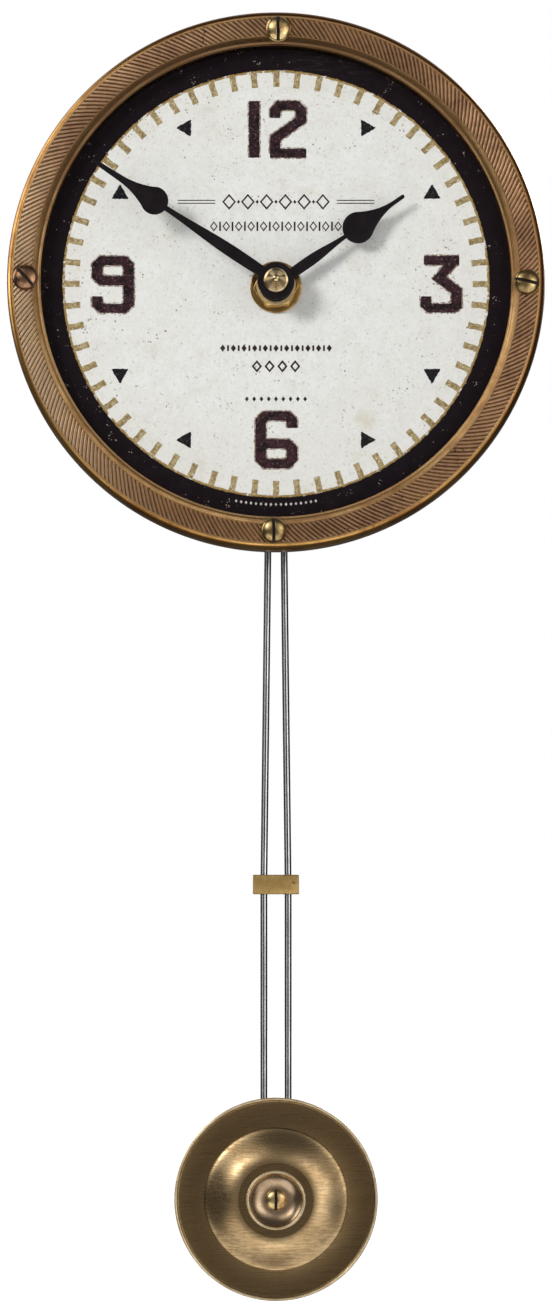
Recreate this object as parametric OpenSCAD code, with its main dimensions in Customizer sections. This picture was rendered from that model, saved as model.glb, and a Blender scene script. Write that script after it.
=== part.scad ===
// Pendulum wall clock: a round brass bezel over a printed dial, a quartz movement in an
// open-backed steel drum, and a pendulum of two rods with a dished brass bob.
// The clock faces -Y and hangs with +Z up. The origin is the centre of the hanger hole,
// at the back face of the hanger plate.

/* [Bezel] */
// Outer radius of the brass bezel
bezel_r = 75.5; // [75.2:0.1:77]
// Radius of the opening over the dial
bezel_lip_r = 66; // [65:0.1:66.5]
// Inner radius of the ridged front face
ridge_in_r = 68.3; // [67.8:0.1:69]
// Outer radius of the ridged front face
ridge_out_r = 73.6; // [73:0.1:74]
// Height of the ridged face above the dial
bezel_h = 6; // [5:0.1:7]
// Height of the inner lip above the dial
lip_h = 4.3; // [3:0.1:4.8]
// Height above the dial at which the outer shoulder turns down
shoulder_h = 3; // [1:0.1:4]
// Radius of the circle that the four bezel screws stand on
screw_circle_r = 70.1; // [69.9:0.1:70.6]
// Width of a bezel screw's domed head
screw_head_d = 7.2; // [6:0.1:7.6]

/* [Case] */
// Distance from the dial to the back face of the hanger plate
dial_depth = 33; // [33:0.5:40]
// Height of the hanger hole above the dial's centre
hanger_rise = 52; // [50:0.5:53]
// Radius of the hanger hole, which a screw head passes
hanger_hole_r = 4; // [3.5:0.1:4.5]
// Outer radius of the steel drum
drum_r = 66; // [64:0.1:66.4]
// Thickness of the drum's sheet
drum_t = 1.5; // [1:0.1:2]
// Half width of the notch that the pendulum swings in
notch_half_w = 16; // [15:0.5:20]

/* [Dial] */
// Radius of the dial plate and its paper
dial_r = 67.8; // [67:0.1:67.9]
// Thickness of the dial plate
plate_t = 1; // [0.8:0.1:1.2]
// Thickness of the printed paper
paper_t = 0.3; // [0.2:0.05:0.4]
// How far the hands' axis sits below the dial's centre
arbor_drop = 1; // [0:0.1:1]

/* [Hands] */
// Minutes past one o'clock at which the hands rest
rest_minutes = 50.57; // [0:0.01:59.99]
// Length of the minute hand from its axis
minute_len = 61.3; // [50:0.1:62]
// Length of the hour hand from its axis
hour_len = 43.7; // [40:0.1:48]
// Width of each hand's round eye
hand_eye_d = 10.7; // [9:0.1:12]
// Height of the hour hand above the dial
hour_hand_h = 4.2; // [4:0.1:5]
// Height of the minute hand above the dial
minute_hand_h = 9.6; // [8:0.1:10]
// Thickness of each hand
hand_t = 0.7; // [0.4:0.1:0.9]

/* [Pendulum] */
// Distance from the dial's centre down to the bob's centre
bob_drop = 259.4; // [240:0.1:265]
// Distance from the dial's centre down to the brass guide bar
guide_drop = 168.6; // [150:0.1:185]
// Thickness of each pendulum rod
rod_d = 2; // [1.6:0.1:2.2]
// Distance between the rods at their top
rod_gap_top = 4.2; // [4.2:0.1:5]
// Distance between the rods from the guide bar down
rod_gap = 7; // [6.6:0.1:8]
// Distance from the dial back to the plane of the rods
rod_depth = 26; // [25.8:0.1:26.2]
// Outer radius of the bob
bob_r = 29.35; // [26:0.05:32]
// Radius of the step between the bob's flat rim and its dome
bob_step_r = 20.7; // [19:0.1:22]
// Radius of the ridge round the bob's centre dimple
bob_dimple_r = 8.6; // [7.5:0.1:10]

/* [Movement] */
// Width of the movement
movement_w = 56; // [56:0.5:58]
// Height of the movement above and below the hands' axis
movement_half_h = 30; // [30:0.5:31]
// Half width of the lower part that holds the pendulum coil
tail_half_w = 16; // [14:0.5:18]
// Length of that lower part
tail_len = 22; // [21:0.5:24]
// Diameter of the battery cell
cell_d = 14.5; // [13.5:0.1:14.5]
// Length of the battery cell without its nub
cell_len = 49.2; // [48:0.1:49.5]

/* [Hidden] */
$fn = 96;
// Overlap of a cutting tool past the face that it cuts
eps = 0.5;
// Clearance round a fixed shank, and round a turning shaft
snug = 0.04;
run = 0.07;
loose = 0.1;

// Fastener sizes
m3_r = 1.5;
m3_hole_r = 1.65;
m3_nut_af = 5.5;
m3_nut_h = 2.4;
screw_dome_h = 2.1;
screw_rim_h = 0.5;
screw_slot_w = 1.1;
screw_slot_depth = 1.2;
screw_turn = -0.5;
// Directions of the four slots, from the right-hand screw round by the top
slot_turns = [-12, 90, -48, 90];

// Stack behind the dial, as heights above the dial's surface
bezel_back = -(plate_t + paper_t);
rebate_r = dial_r + 0.2;
flange_t = 2;
flange_r = 74.5;
flange_back = bezel_back - flange_t;
rim_r = 61;
rim_t = 1.2;
rim_front = -dial_depth;
notch_front = -22;

// Hanger
hanger_t = 1.2;
hanger_low = 44;
hanger_r = drum_r - drum_t - 0.3;
slot_rise = 5.5;
slot_r = 1.75;
rivet_r = 1;
rivet_head_r = 1.45;
rivet_head_h = 0.8;
rivet_circle_r = (rim_r + drum_r - drum_t) / 2;
rivet_turns = [-34, -14, 14, 34];

// Hub stack
bushing_r = 4;
bushing_top = 3.3;
dial_hole_r = bushing_r + arbor_drop + 0.1;
washer_r = 7.25;
washer_t = 0.8;
hub_nut_af = 11;
hub_nut_h = 2.2;
hub_nut_turn = 4;
hour_tube_r = 2.55;
hour_tube_top = 5.9;
arbor_r = 1.75;
arbor_top = 12.4;
collet_r = 3.4;
cap_r = 3.4;
cap_low = 10.5;
cap_top = 14.7;
cap_rim_h = 0.9;
eye_r = hand_eye_d / 2;

// Movement, in depths behind the dial
gasket_t = 1;
gasket_r = 9;
tray_front = -bezel_back + gasket_t;
tray_floor_t = 1.5;
floor_back = tray_front + tray_floor_t;
cover_front = 18.1;
cover_t = 1.2;
cover_back = cover_front + cover_t;
wall_t = 1.2;
half_w = movement_w / 2;
inner_w = half_w - wall_t;
inner_h = movement_half_h - wall_t;
cell_x = inner_w - cell_d / 2 - 0.15;
cell_depth = floor_back + cell_d / 2 + 0.25;
cell_low = -24.7;
well_x = cell_x - cell_d / 2 - 0.25;
nub_r = 2.7;
nub_h = 1.3;
cover_screw_x = [-24.5, 8.5, -24.5, 8.5];
cover_screw_z = [26, 26, -26, -26];
cover_screw_r = 1;
cover_boss_r = 2.1;
cover_screw_len = 7;

// Bridge that carries the inner ends of the wheels
bridge_front = 12.8;
bridge_t = 1;
bridge_x = [-26.3, 10];
bridge_z = [-9.6, 20];
bridge_posts = [[8.2, 17.6], [-25, -1], [8.2, -8.2]];
post_r = 1.2;

// Motion work: cannon pinion 10, wheel 30, pinion 8, hour wheel 32, setting pinion 12
motion_m = 0.5;
cannon_z = 10;
motion_z = 30;
motion_pinion_z = 8;
hour_z = 32;
setting_z = 12;
motion_dir = 180;
setting_dir = 200;
motion_at = gear_gap(cannon_z, motion_z, motion_m) * [cos(motion_dir), sin(motion_dir)];
setting_at = motion_at
    + gear_gap(motion_z, setting_z, motion_m) * [cos(setting_dir), sin(setting_dir)];
motion_turn = mesh_turn(cannon_z, 0, motion_z, motion_dir);
setting_turn = mesh_turn(motion_z, motion_turn, setting_z, setting_dir);
hour_turn = mesh_turn(motion_pinion_z, 0, hour_z, motion_dir + 180);

// Going train: rotor 10:50, 10:60 fourth wheel, 8:60 third wheel, 8:64 centre wheel
train_m = 0.25;
fine_m = 0.2;
centre_z = 64;
third_z = 60;
third_pinion_z = 8;
fourth_z = 60;
fourth_pinion_z = 8;
middle_z = 50;
middle_pinion_z = 10;
rotor_z = 10;
third_dir = 90;
fourth_dir = 150;
middle_dir = 180;
rotor_dir = 230;
third_at = gear_gap(centre_z, third_pinion_z, train_m) * [cos(third_dir), sin(third_dir)];
fourth_at = third_at
    + gear_gap(third_z, fourth_pinion_z, train_m) * [cos(fourth_dir), sin(fourth_dir)];
middle_at = fourth_at
    + gear_gap(fourth_z, middle_pinion_z, fine_m) * [cos(middle_dir), sin(middle_dir)];
rotor_at = middle_at + gear_gap(middle_z, rotor_z, fine_m) * [cos(rotor_dir), sin(rotor_dir)];
centre_turn = mesh_turn(third_pinion_z, 0, centre_z, third_dir + 180);
third_turn = mesh_turn(fourth_pinion_z, 0, third_z, fourth_dir + 180);
fourth_turn = mesh_turn(middle_pinion_z, 0, fourth_z, middle_dir + 180);
middle_turn = mesh_turn(rotor_z, 0, middle_z, rotor_dir + 180);

// Depths of the wheels behind the dial, and their thickness
hour_wheel_depth = 4.2;
motion_depth = 5.6;
centre_depth = 8;
third_depth = 9.2;
fourth_depth = 10.4;
middle_depth = 11.6;
wheel_t = 1;
thin_t = 0.6;
lean_t = 0.1;
pivot_r = 0.4;
pivot_front = 3;
pivot_back = 13.6;
wheel_shaft_r = 0.55;
thin_arbor_r = 1.2;
centre_hub_r = 2.2;
grip_ribs = 24;
grip_m = 0.4;

// Step motor
magnet_r = 2.5;
magnet_depth = 8.4;
magnet_t = 2.4;
stator_hole_r = 3.1;
stator_depth = 9.2;
stator_t = 0.8;
stator_x = [-22.2, -9.6];
stator_z = [3.5, 25.4];
window_x = [-20, -12.5];
window_z = [12.3, 22];
coil_r = 3.1;

// Battery contacts
contact_w = 8;
contact_t = 0.4;
contact_half_len = 4.5;
tab_half_w = 1.5;
tab_z = 27;
spring_w = 6;

// Circuit board
board_x = [-22.2, 4];
board_z = [-27.5, -11.2];
board_depth = 10;
board_t = 1;
crystal_at = [-22, -19];
crystal_r = 1;
crystal_len = 6;
chip_at = [-10, -19];
chip_half_w = 3;
chip_h = 1.4;
chip_dot_r = 0.5;
chip_dot_depth = 0.3;

// Pendulum drive
swing_rise = 22;
pin_r = 1.2;
leader_half_w = 4;
leader_front = 20.6;
leader_t = 1.8;
leader_low = -46;
leader_hub_r = 3.6;
magnet_drop = -38;
drive_magnet_r = 3.2;
drive_coil_r = 9;
drive_coil_t = 4.5;
drive_coil_bore_r = 3.5;
pin_boss_r = 2.4;
pin_boss_h = 0.8;
leader_tip_r = 3;
pad_half_h = 4.5;
magnet_pocket = 1.5;
hook_head_r = 1.7;
hook_head_h = 0.8;
hook_pin_r = 1.1;
hook_plate_t = 2.6;
hook_half_w = 4.6;
hook_low = -57;
hook_high = -42.5;
rod_in_hook = 6;

// Rods and bob, in heights above the dial or along z from the dial's centre
rod_r = rod_d / 2;
rod_sides = 24;
rod_top = -(arbor_drop - hook_low) + rod_in_hook;
rod_low = -(bob_drop + 15);
guide_w = 13.3;
guide_h = 5.6;
guide_t = 3.6;
shell_t = 0.7;
bob_plane = -rod_depth + rod_r + 0.2;
bob_step_h = 0.9;
bob_lip_h = 0.7;
bob_rim_h = 0.35;
rib_half_h = 10;
bob_dome_h = 5.4;
bob_well_h = 3;
bob_ridge_w = 0.7;
bob_screw_r = 1.5;
bob_head_r = 3.1;
bob_slot_w = 0.8;
bob_slot_depth = 0.9;
bob_head_h = 1.6;
back_front = -rod_depth - rod_r - 0.2;
back_t = 1.2;
back_r = 26;
seat_r = bob_head_r + 0.2;
weight_r = 16;

// Colours
brass = "#a5824f";
old_brass = "#8a6b40";
steel = "#9a9a98";
black = "#141214";
plastic = "#25262a";
white_plastic = "#e6e4dc";

// Distance between the axes of two meshed gears
function gear_gap(z1, z2, m) = m * (z1 + z2) / 2;

// Turn of gear 2 that meshes with gear 1, where dir points from gear 1 to gear 2
function mesh_turn(z1, turn1, z2, dir) =
    dir + 180 - (360 / z2) * (0.5 - z1 * (dir - turn1) / 360);

// Corner radius of a hexagon from its width across flats
function hex_r(af) = af / 2 / cos(30);

// Side of a spade hand as [distance, half width]: a swelling shank, a round leaf that
// flares into a needle, and a round tip
function hand_side(len, swell_at, swell_w, neck_w, leaf_at, leaf_r, flare_at, needle_w, tip_w) =
    let (
        n = 10,
        start_w = swell_w * 0.8,
        a0 = asin(neck_w / leaf_r),
        neck_at = leaf_at - leaf_r * cos(a0),
        a1 = 127,
        flare_w = leaf_r * sin(a1),
        leave_at = leaf_at - leaf_r * cos(a1)
    )
    concat(
        [for (i = [0 : n]) let (t = i / n)
            [swell_at * t, start_w + (swell_w - start_w) * sin(90 * t)]],
        [for (i = [1 : n - 1]) let (t = i / n)
            [swell_at + (neck_at - swell_at) * t,
             neck_w + (swell_w - neck_w) * (1 + cos(170 * t)) / 2]],
        [for (i = [0 : n]) let (a = a0 + (a1 - a0) * i / n)
            [leaf_at - leaf_r * cos(a), leaf_r * sin(a)]],
        [for (i = [1 : n]) let (u = 1 - i / n)
            [flare_at + (leave_at - flare_at) * u,
             needle_w + (flare_w - needle_w) * (0.1 * u + 0.9 * u * u)]],
        [for (i = [0 : 5]) let (a = 18 * i)
            [len - tip_w + tip_w * sin(a), tip_w * cos(a)]]
    );

// Places children in the dial's frame: x right, y up, z out of the dial, at a height
module on_dial(h = 0) {
    translate([0, -dial_depth - h, -hanger_rise])
        rotate([90, 0, 0])
            children();
}

// The same about the hands' axis, at a height
module on_arbor(h = 0) {
    on_dial(h)
        translate([0, -arbor_drop, 0])
            children();
}

// Places children inside the movement: they start at a depth and rise towards the dial
module in_movement(depth, at = [0, 0]) {
    on_arbor(-depth)
        translate([at[0], at[1], 0])
            children();
}

module ring(outer_r, inner_r, h) {
    difference() {
        cylinder(r = outer_r, h = h);
        translate([0, 0, -eps])
            cylinder(r = inner_r, h = h + 2 * eps);
    }
}

// A box between two corners' x and y, rising from z = 0
module slab(x, y, h) {
    translate([x[0], y[0], 0])
        cube([x[1] - x[0], y[1] - y[0], h]);
}

// Spur gear with straight-sided teeth, thinned for backlash
module gear(teeth, m, h, turn = 0) {
    pitch_r = m * teeth / 2;
    tooth = [[-0.31, pitch_r - 1.2 * m], [-0.11, pitch_r + 0.8 * m],
        [0.11, pitch_r + 0.8 * m], [0.31, pitch_r - 1.2 * m]];
    linear_extrude(height = h)
        polygon([for (i = [0 : teeth - 1], p = tooth)
            let (a = turn + 360 / teeth * (i + p[0])) p[1] * [cos(a), sin(a)]]);
}

// A many-sided shaft between two depths, so that the moving wheels keep flat faces
module shaft(r, front, back) {
    translate([0, 0, -back])
        cylinder(r = r, h = back - front, $fn = 12);
}

// Repeats children at the four bezel screws, with each one's slot direction
module at_bezel_screws() {
    for (i = [0 : 3])
        rotate(screw_turn + 90 * i)
            translate([screw_circle_r, 0, 0])
                rotate(slot_turns[i] - screw_turn - 90 * i)
                    children();
}

// Domed, slotted screw head that rises from z = 0
module domed_head(r, rim_h, dome_h, slot_w, slot_depth) {
    n = 8;
    difference() {
        rotate_extrude()
            polygon(concat([[0, 0], [r, 0]],
                [for (i = [0 : n]) let (a = 90 * i / n)
                    [r * cos(a), rim_h + (dome_h - rim_h) * sin(a)]]));
        translate([-r - eps, -slot_w / 2, dome_h - slot_depth])
            cube([2 * (r + eps), slot_w, slot_depth + eps]);
    }
}

module hex_nut(af, h, bore_r) {
    difference() {
        cylinder(r = hex_r(af), h = h, $fn = 6);
        translate([0, 0, -eps])
            cylinder(r = bore_r, h = h + 2 * eps);
    }
}

module bezel() {
    n = 6;
    cove = [for (i = [0 : n]) let (a = 90 * i / n)
        [bezel_lip_r + 0.7 + (ridge_in_r - bezel_lip_r - 0.7) * sin(a),
         bezel_h - (bezel_h - lip_h) * cos(a)]];
    shoulder = [for (i = [0 : n]) let (a = 90 * i / n)
        [ridge_out_r + (bezel_r - ridge_out_r) * sin(a),
         shoulder_h + (bezel_h - shoulder_h) * cos(a)]];
    color(old_brass)
        difference() {
            on_dial()
                rotate_extrude($fn = 180)
                    polygon(concat([[bezel_lip_r, 0], [bezel_lip_r, lip_h]], cove, shoulder,
                        [[bezel_r, bezel_back], [rebate_r, bezel_back], [rebate_r, 0]]));
            on_dial(bezel_back - eps)
                at_bezel_screws()
                    cylinder(r = m3_hole_r, h = bezel_h - bezel_back + 2 * eps);
        }
}

module bezel_screws() {
    shank_len = bezel_h - flange_back + m3_nut_h + 1;
    color(brass)
        on_dial(bezel_h)
            at_bezel_screws() {
                domed_head(screw_head_d / 2, screw_rim_h, screw_dome_h, screw_slot_w,
                    screw_slot_depth);
                translate([0, 0, -shank_len])
                    cylinder(r = m3_r, h = shank_len);
            }
}

module flange_nuts() {
    color(steel)
        on_dial(flange_back - m3_nut_h)
            at_bezel_screws()
                hex_nut(m3_nut_af, m3_nut_h, m3_r + snug);
}

module case_drum() {
    drum_len = dial_depth + rim_t + flange_back;
    color("#3a322a")
        difference() {
            union() {
                on_dial(flange_back)
                    ring(flange_r, drum_r - drum_t, flange_t);
                on_dial(rim_front - rim_t)
                    ring(drum_r, drum_r - drum_t, drum_len + eps);
                on_dial(rim_front - rim_t)
                    ring(drum_r - drum_t + eps, rim_r, rim_t);
            }
            on_dial(flange_back - eps)
                at_bezel_screws()
                    cylinder(r = m3_hole_r, h = flange_t + 2 * eps);
            on_dial(rim_front - rim_t - eps)
                slab([-notch_half_w, notch_half_w], [-drum_r - eps, -rim_r + 4],
                    notch_front - rim_front + rim_t + eps);
            on_dial(rim_front - rim_t - eps)
                at_rivets()
                    cylinder(r = rivet_r + snug, h = rim_t + 2 * eps);
        }
}

module at_rivets() {
    for (turn = rivet_turns)
        rotate(turn)
            translate([0, rivet_circle_r, 0])
                children();
}

module hanger_plate() {
    color(steel)
        difference() {
            on_dial(rim_front)
                intersection() {
                    cylinder(r = hanger_r, h = hanger_t);
                    slab([-hanger_r, hanger_r], [hanger_low, hanger_r], hanger_t);
                }
            on_dial(rim_front - eps) {
                translate([0, hanger_rise, 0])
                    cylinder(r = hanger_hole_r, h = hanger_t + 2 * eps);
                translate([0, hanger_rise + slot_rise, 0])
                    cylinder(r = slot_r, h = hanger_t + 2 * eps);
                slab([-slot_r, slot_r], [hanger_rise, hanger_rise + slot_rise],
                    hanger_t + 2 * eps);
                at_rivets()
                    cylinder(r = rivet_r + snug, h = hanger_t + 2 * eps);
            }
        }
}

module hanger_rivets() {
    color(steel)
        on_dial(rim_front - rim_t)
            at_rivets() {
                cylinder(r = rivet_r, h = rim_t + hanger_t + rivet_head_h / 2);
                translate([0, 0, rim_t + hanger_t])
                    cylinder(r = rivet_head_r, h = rivet_head_h);
            }
}

module dial_plate() {
    color(steel)
        on_dial(bezel_back)
            ring(dial_r, dial_hole_r, plate_t);
}

module dial_paper() {
    color("#e4e2da")
        on_dial(-paper_t)
            ring(dial_r, dial_hole_r, paper_t);
}

module dial_washer() {
    color(brass)
        on_arbor()
            ring(washer_r, bushing_r + snug, washer_t);
}

module centre_nut() {
    color(brass)
        on_arbor(washer_t)
            rotate(hub_nut_turn)
                hex_nut(hub_nut_af, hub_nut_h, bushing_r + snug);
}

module threaded_bushing() {
    color(brass)
        on_arbor(-tray_front - 1)
            ring(bushing_r, hour_tube_r + run, bushing_top + tray_front + 1);
}

module rubber_gasket() {
    color(black)
        on_arbor(-tray_front)
            ring(gasket_r, bushing_r + snug, gasket_t);
}

// Outline of the movement's case with its lower part, inset by a wall
module movement_outline(inset) {
    square([2 * (half_w - inset), 2 * (movement_half_h - inset)], center = true);
    translate([-tail_half_w + inset, -movement_half_h - tail_len + inset])
        square([2 * (tail_half_w - inset), tail_len + wall_t]);
}

module at_cover_screws() {
    for (i = [0 : 3])
        translate([cover_screw_x[i], cover_screw_z[i], 0])
            children();
}

module movement_tray() {
    depth = cover_front - tray_front;
    color(plastic)
        difference() {
            on_arbor(-cover_front)
                union() {
                    difference() {
                        linear_extrude(height = depth)
                            movement_outline(0);
                        translate([0, 0, -eps])
                            linear_extrude(height = depth - tray_floor_t + eps)
                                movement_outline(wall_t);
                    }
                    slab([well_x - wall_t, well_x], [-inner_h - wall_t / 2, inner_h + wall_t / 2],
                        depth - wall_t / 2);
                    at_cover_screws()
                        cylinder(r = cover_boss_r, h = depth - wall_t / 2);
                }
            in_movement(tray_front + 1)
                cylinder(r = bushing_r + snug, h = 1 + eps);
            in_movement(floor_back + eps)
                cylinder(r = hour_tube_r + run, h = tray_floor_t + 2 * eps);
            for (at = [motion_at, third_at, fourth_at, middle_at, rotor_at, setting_at])
                in_movement(floor_back + eps, at)
                    cylinder(r = pivot_r + run, h = floor_back - pivot_front + 0.1 + eps);
            on_arbor(-cover_front - eps)
                at_cover_screws()
                    cylinder(r = cover_screw_r + snug, h = cover_screw_len + eps);
        }
}

module movement_cover() {
    color(plastic)
        difference() {
            on_arbor(-cover_back)
                union() {
                    linear_extrude(height = cover_t)
                        movement_outline(0);
                    translate([0, swing_rise, -pin_boss_h])
                        cylinder(r = pin_boss_r, h = pin_boss_h + cover_t / 2);
                }
            on_arbor(-cover_back - eps) {
                slab([well_x, inner_w], [-inner_h, inner_h], cover_t + 2 * eps);
                at_cover_screws()
                    cylinder(r = cover_screw_r + snug, h = cover_t + 2 * eps);
            }
            in_movement(cover_back + eps, setting_at)
                cylinder(r = thin_arbor_r + run, h = cover_t + 2 * eps);
            in_movement(cover_back + pin_boss_h + eps, [0, swing_rise])
                cylinder(r = pin_r + snug, h = cover_t + pin_boss_h + 2 * eps);
        }
}

module cover_screws() {
    head_h = 1;
    head_r = 1.9;
    head_rim_h = 0.3;
    slot = 0.5;
    color(steel)
        on_arbor(-cover_back)
            at_cover_screws() {
                cylinder(r = cover_screw_r, h = cover_t + cover_screw_len - 1);
                mirror([0, 0, 1])
                    domed_head(head_r, head_rim_h, head_h, slot, slot);
            }
}

module gear_bridge() {
    color(white_plastic)
        difference() {
            union() {
                in_movement(bridge_front + bridge_t)
                    slab(bridge_x, bridge_z, bridge_t);
                for (at = bridge_posts)
                    in_movement(bridge_front + 0.2, at)
                        cylinder(r = post_r, h = bridge_front + 0.2 - floor_back);
            }
            for (at = [motion_at, third_at, fourth_at, middle_at, rotor_at])
                in_movement(bridge_front + bridge_t + eps, at)
                    cylinder(r = pivot_r + run, h = bridge_t + 2 * eps);
            for (at = [[0, 0], setting_at])
                in_movement(bridge_front + bridge_t + eps, at)
                    cylinder(r = thin_arbor_r + run, h = bridge_t + 2 * eps);
        }
}

module circuit_board() {
    color("#1f6b3a")
        in_movement(board_depth + board_t)
            slab(board_x, board_z, board_t);
}

module quartz_crystal() {
    color(steel)
        in_movement(board_depth + board_t + crystal_r, crystal_at)
            rotate([0, 90, 0])
                cylinder(r = crystal_r, h = crystal_len);
}

module ic_chip() {
    color(black)
        in_movement(board_depth + board_t + chip_h, chip_at)
            difference() {
                slab([-chip_half_w, chip_half_w], [-chip_half_w, chip_half_w], chip_h);
                translate([1 - chip_half_w, chip_half_w - 1, -eps])
                    cylinder(r = chip_dot_r, h = chip_dot_depth + eps);
            }
}

module motor_stator() {
    color(steel)
        difference() {
            in_movement(stator_depth + stator_t)
                slab(stator_x, stator_z, stator_t);
            in_movement(stator_depth + stator_t + eps)
                slab(window_x, window_z, stator_t + 2 * eps);
            in_movement(stator_depth + stator_t + eps, rotor_at)
                cylinder(r = stator_hole_r, h = stator_t + 2 * eps);
        }
}

module motor_coil() {
    mid = (window_z[1] + stator_z[1]) / 2;
    bar = (stator_z[1] - window_z[1]) / 2;
    color("#9c4a22")
        in_movement(stator_depth + stator_t / 2, [window_x[0] + 0.3, mid])
            difference() {
                rotate([0, 90, 0])
                    cylinder(r = coil_r, h = window_x[1] - window_x[0] - 0.6);
                translate([-eps, -bar - 0.05, -stator_t / 2 - 0.05])
                    cube([window_x[1] - window_x[0] + 1, 2 * bar + 0.1, stator_t + 0.1]);
            }
}

module contact_positive() {
    color(steel)
        in_movement(cell_depth + contact_w / 2, [cell_x, 0]) {
            slab([-contact_half_len, contact_half_len], [tab_z - contact_t, tab_z], contact_w);
            slab([-tab_half_w, tab_half_w], [tab_z, inner_h - 0.1], contact_t);
        }
}

// A folded leaf spring under the cell
module contact_negative() {
    foot = -inner_h + 0.1;
    top = cell_low - 0.1;
    color(steel)
        in_movement(cell_depth - contact_w / 2, [cell_x, 0])
            rotate([0, 90, 0])
                linear_extrude(height = spring_w, center = true)
                    polygon([[0, foot], [contact_w, foot], [contact_w, foot + contact_t],
                        [1.5 * contact_t, foot + contact_t], [contact_w / 2 + contact_t, top],
                        [contact_w / 2 - contact_t, top], [0, foot + 1.5 * contact_t]]);
}

module pendulum_coil() {
    color("#9c4a22")
        in_movement(cover_front - 0.2, [0, magnet_drop])
            ring(drive_coil_r, drive_coil_bore_r, drive_coil_t);
}

module pivot_pin() {
    head_h = 0.8;
    head_front = leader_front + leader_t + 0.3;
    color(steel)
        in_movement(head_front + head_h, [0, swing_rise]) {
            cylinder(r = pin_boss_r, h = head_h);
            cylinder(r = pin_r, h = head_front + head_h - cover_front - lean_t);
        }
}

module minute_arbor() {
    color(steel)
        on_arbor() {
            translate([0, 0, -motion_depth - wheel_t - lean_t])
                gear(cannon_z, motion_m, wheel_t + 2 * lean_t);
            translate([0, 0, -motion_depth])
                cylinder(r = arbor_r, h = motion_depth + arbor_top);
            translate([0, 0, -pivot_back])
                cylinder(r = thin_arbor_r, h = pivot_back - motion_depth - wheel_t / 2);
        }
}

// A hand that points along +x, with its round eye and bore
module hand(side, bore_r) {
    back = [for (i = [len(side) - 1 : -1 : 0]) [side[i][0], -side[i][1]]];
    difference() {
        union() {
            linear_extrude(height = hand_t)
                polygon(concat(side, back));
            cylinder(r = eye_r, h = hand_t);
        }
        translate([0, 0, -eps])
            cylinder(r = bore_r, h = hand_t + 2 * eps);
    }
}

module minute_hand() {
    color(black)
        on_arbor(minute_hand_h)
            rotate(90 - 6 * rest_minutes)
                hand(hand_side(len = minute_len, swell_at = 14, swell_w = 1.7, neck_w = 0.72,
                    leaf_at = 40.6, leaf_r = 3.87, flare_at = 52, needle_w = 0.88,
                    tip_w = 0.55), arbor_r + snug);
}

module hour_hand() {
    color(black)
        on_arbor(hour_hand_h)
            rotate(90 - 30 - rest_minutes / 2)
                hand(hand_side(len = hour_len, swell_at = 11.2, swell_w = 1.52, neck_w = 0.56,
                    leaf_at = 28, leaf_r = 4.4, flare_at = 40, needle_w = 0.56,
                    tip_w = 0.52), hour_tube_r + snug);
}

module minute_collet() {
    color(old_brass)
        on_arbor(minute_hand_h - 1.6)
            ring(collet_r - 0.4, arbor_r + snug, 1.6);
}

module hour_collet() {
    color(old_brass)
        on_arbor(hour_hand_h + hand_t)
            ring(collet_r + 0.4, hour_tube_r + snug, hour_tube_top - hour_hand_h - hand_t);
}

module cap_nut() {
    color(brass)
        difference() {
            on_arbor(cap_low)
                rotate_extrude()
                    polygon([[0, 0], [cap_r, 0], [cap_r, cap_rim_h], [cap_r * 0.86, cap_rim_h + 0.5],
                        [cap_r * 0.2, cap_top - cap_low - 0.2], [0, cap_top - cap_low]]);
            on_arbor(cap_low - eps)
                cylinder(r = arbor_r + snug, h = arbor_top - cap_low + 0.1 + eps);
        }
}

module hour_wheel() {
    color(white_plastic)
        difference() {
            on_arbor() {
                translate([0, 0, -hour_wheel_depth - wheel_t])
                    gear(hour_z, motion_m, wheel_t, hour_turn);
                translate([0, 0, -hour_wheel_depth - wheel_t / 2])
                    cylinder(r = hour_tube_r, h = hour_wheel_depth + wheel_t / 2 + hour_tube_top);
            }
            on_arbor(-hour_wheel_depth - wheel_t - eps)
                cylinder(r = arbor_r + run, h = hour_wheel_depth + wheel_t + hour_tube_top + 2 * eps);
        }
}

// A wheel on its own shaft, with a pinion on the same shaft and pivots at both ends
module wheel_and_pinion(at, z, m, depth, t, turn, pinion_z, pinion_m, pinion_depth, pinion_t) {
    on_arbor()
        translate([at[0], at[1], 0]) {
            translate([0, 0, -depth - t])
                gear(z, m, t, turn);
            translate([0, 0, -pinion_depth - pinion_t])
                gear(pinion_z, pinion_m, pinion_t);
            shaft(wheel_shaft_r, floor_back + lean_t, bridge_front - lean_t);
            shaft(pivot_r, pivot_front, pivot_back);
        }
}

module motion_wheel() {
    color(white_plastic)
        wheel_and_pinion(motion_at, motion_z, motion_m, motion_depth, wheel_t, motion_turn,
            motion_pinion_z, motion_m, hour_wheel_depth - lean_t, wheel_t + 2 * lean_t);
}

module setting_knob() {
    grip_front = cover_back + 0.7;
    grip_t = 3;
    color("#c9302c")
        on_arbor()
            translate([setting_at[0], setting_at[1], 0]) {
                translate([0, 0, -motion_depth - wheel_t])
                    gear(setting_z, motion_m, wheel_t, setting_turn);
                shaft(thin_arbor_r, floor_back + lean_t, grip_front + 0.5);
                shaft(pivot_r, pivot_front, floor_back + 1);
                translate([0, 0, -grip_front - grip_t])
                    gear(grip_ribs, grip_m, grip_t);
            }
}

module centre_wheel() {
    color(white_plastic)
        difference() {
            on_arbor() {
                translate([0, 0, -centre_depth - thin_t])
                    gear(centre_z, train_m, thin_t, centre_turn);
                shaft(centre_hub_r, centre_depth - 0.3, centre_depth + thin_t + 0.4);
            }
            on_arbor(-centre_depth - 2)
                cylinder(r = thin_arbor_r + run, h = 4);
        }
}

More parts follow.
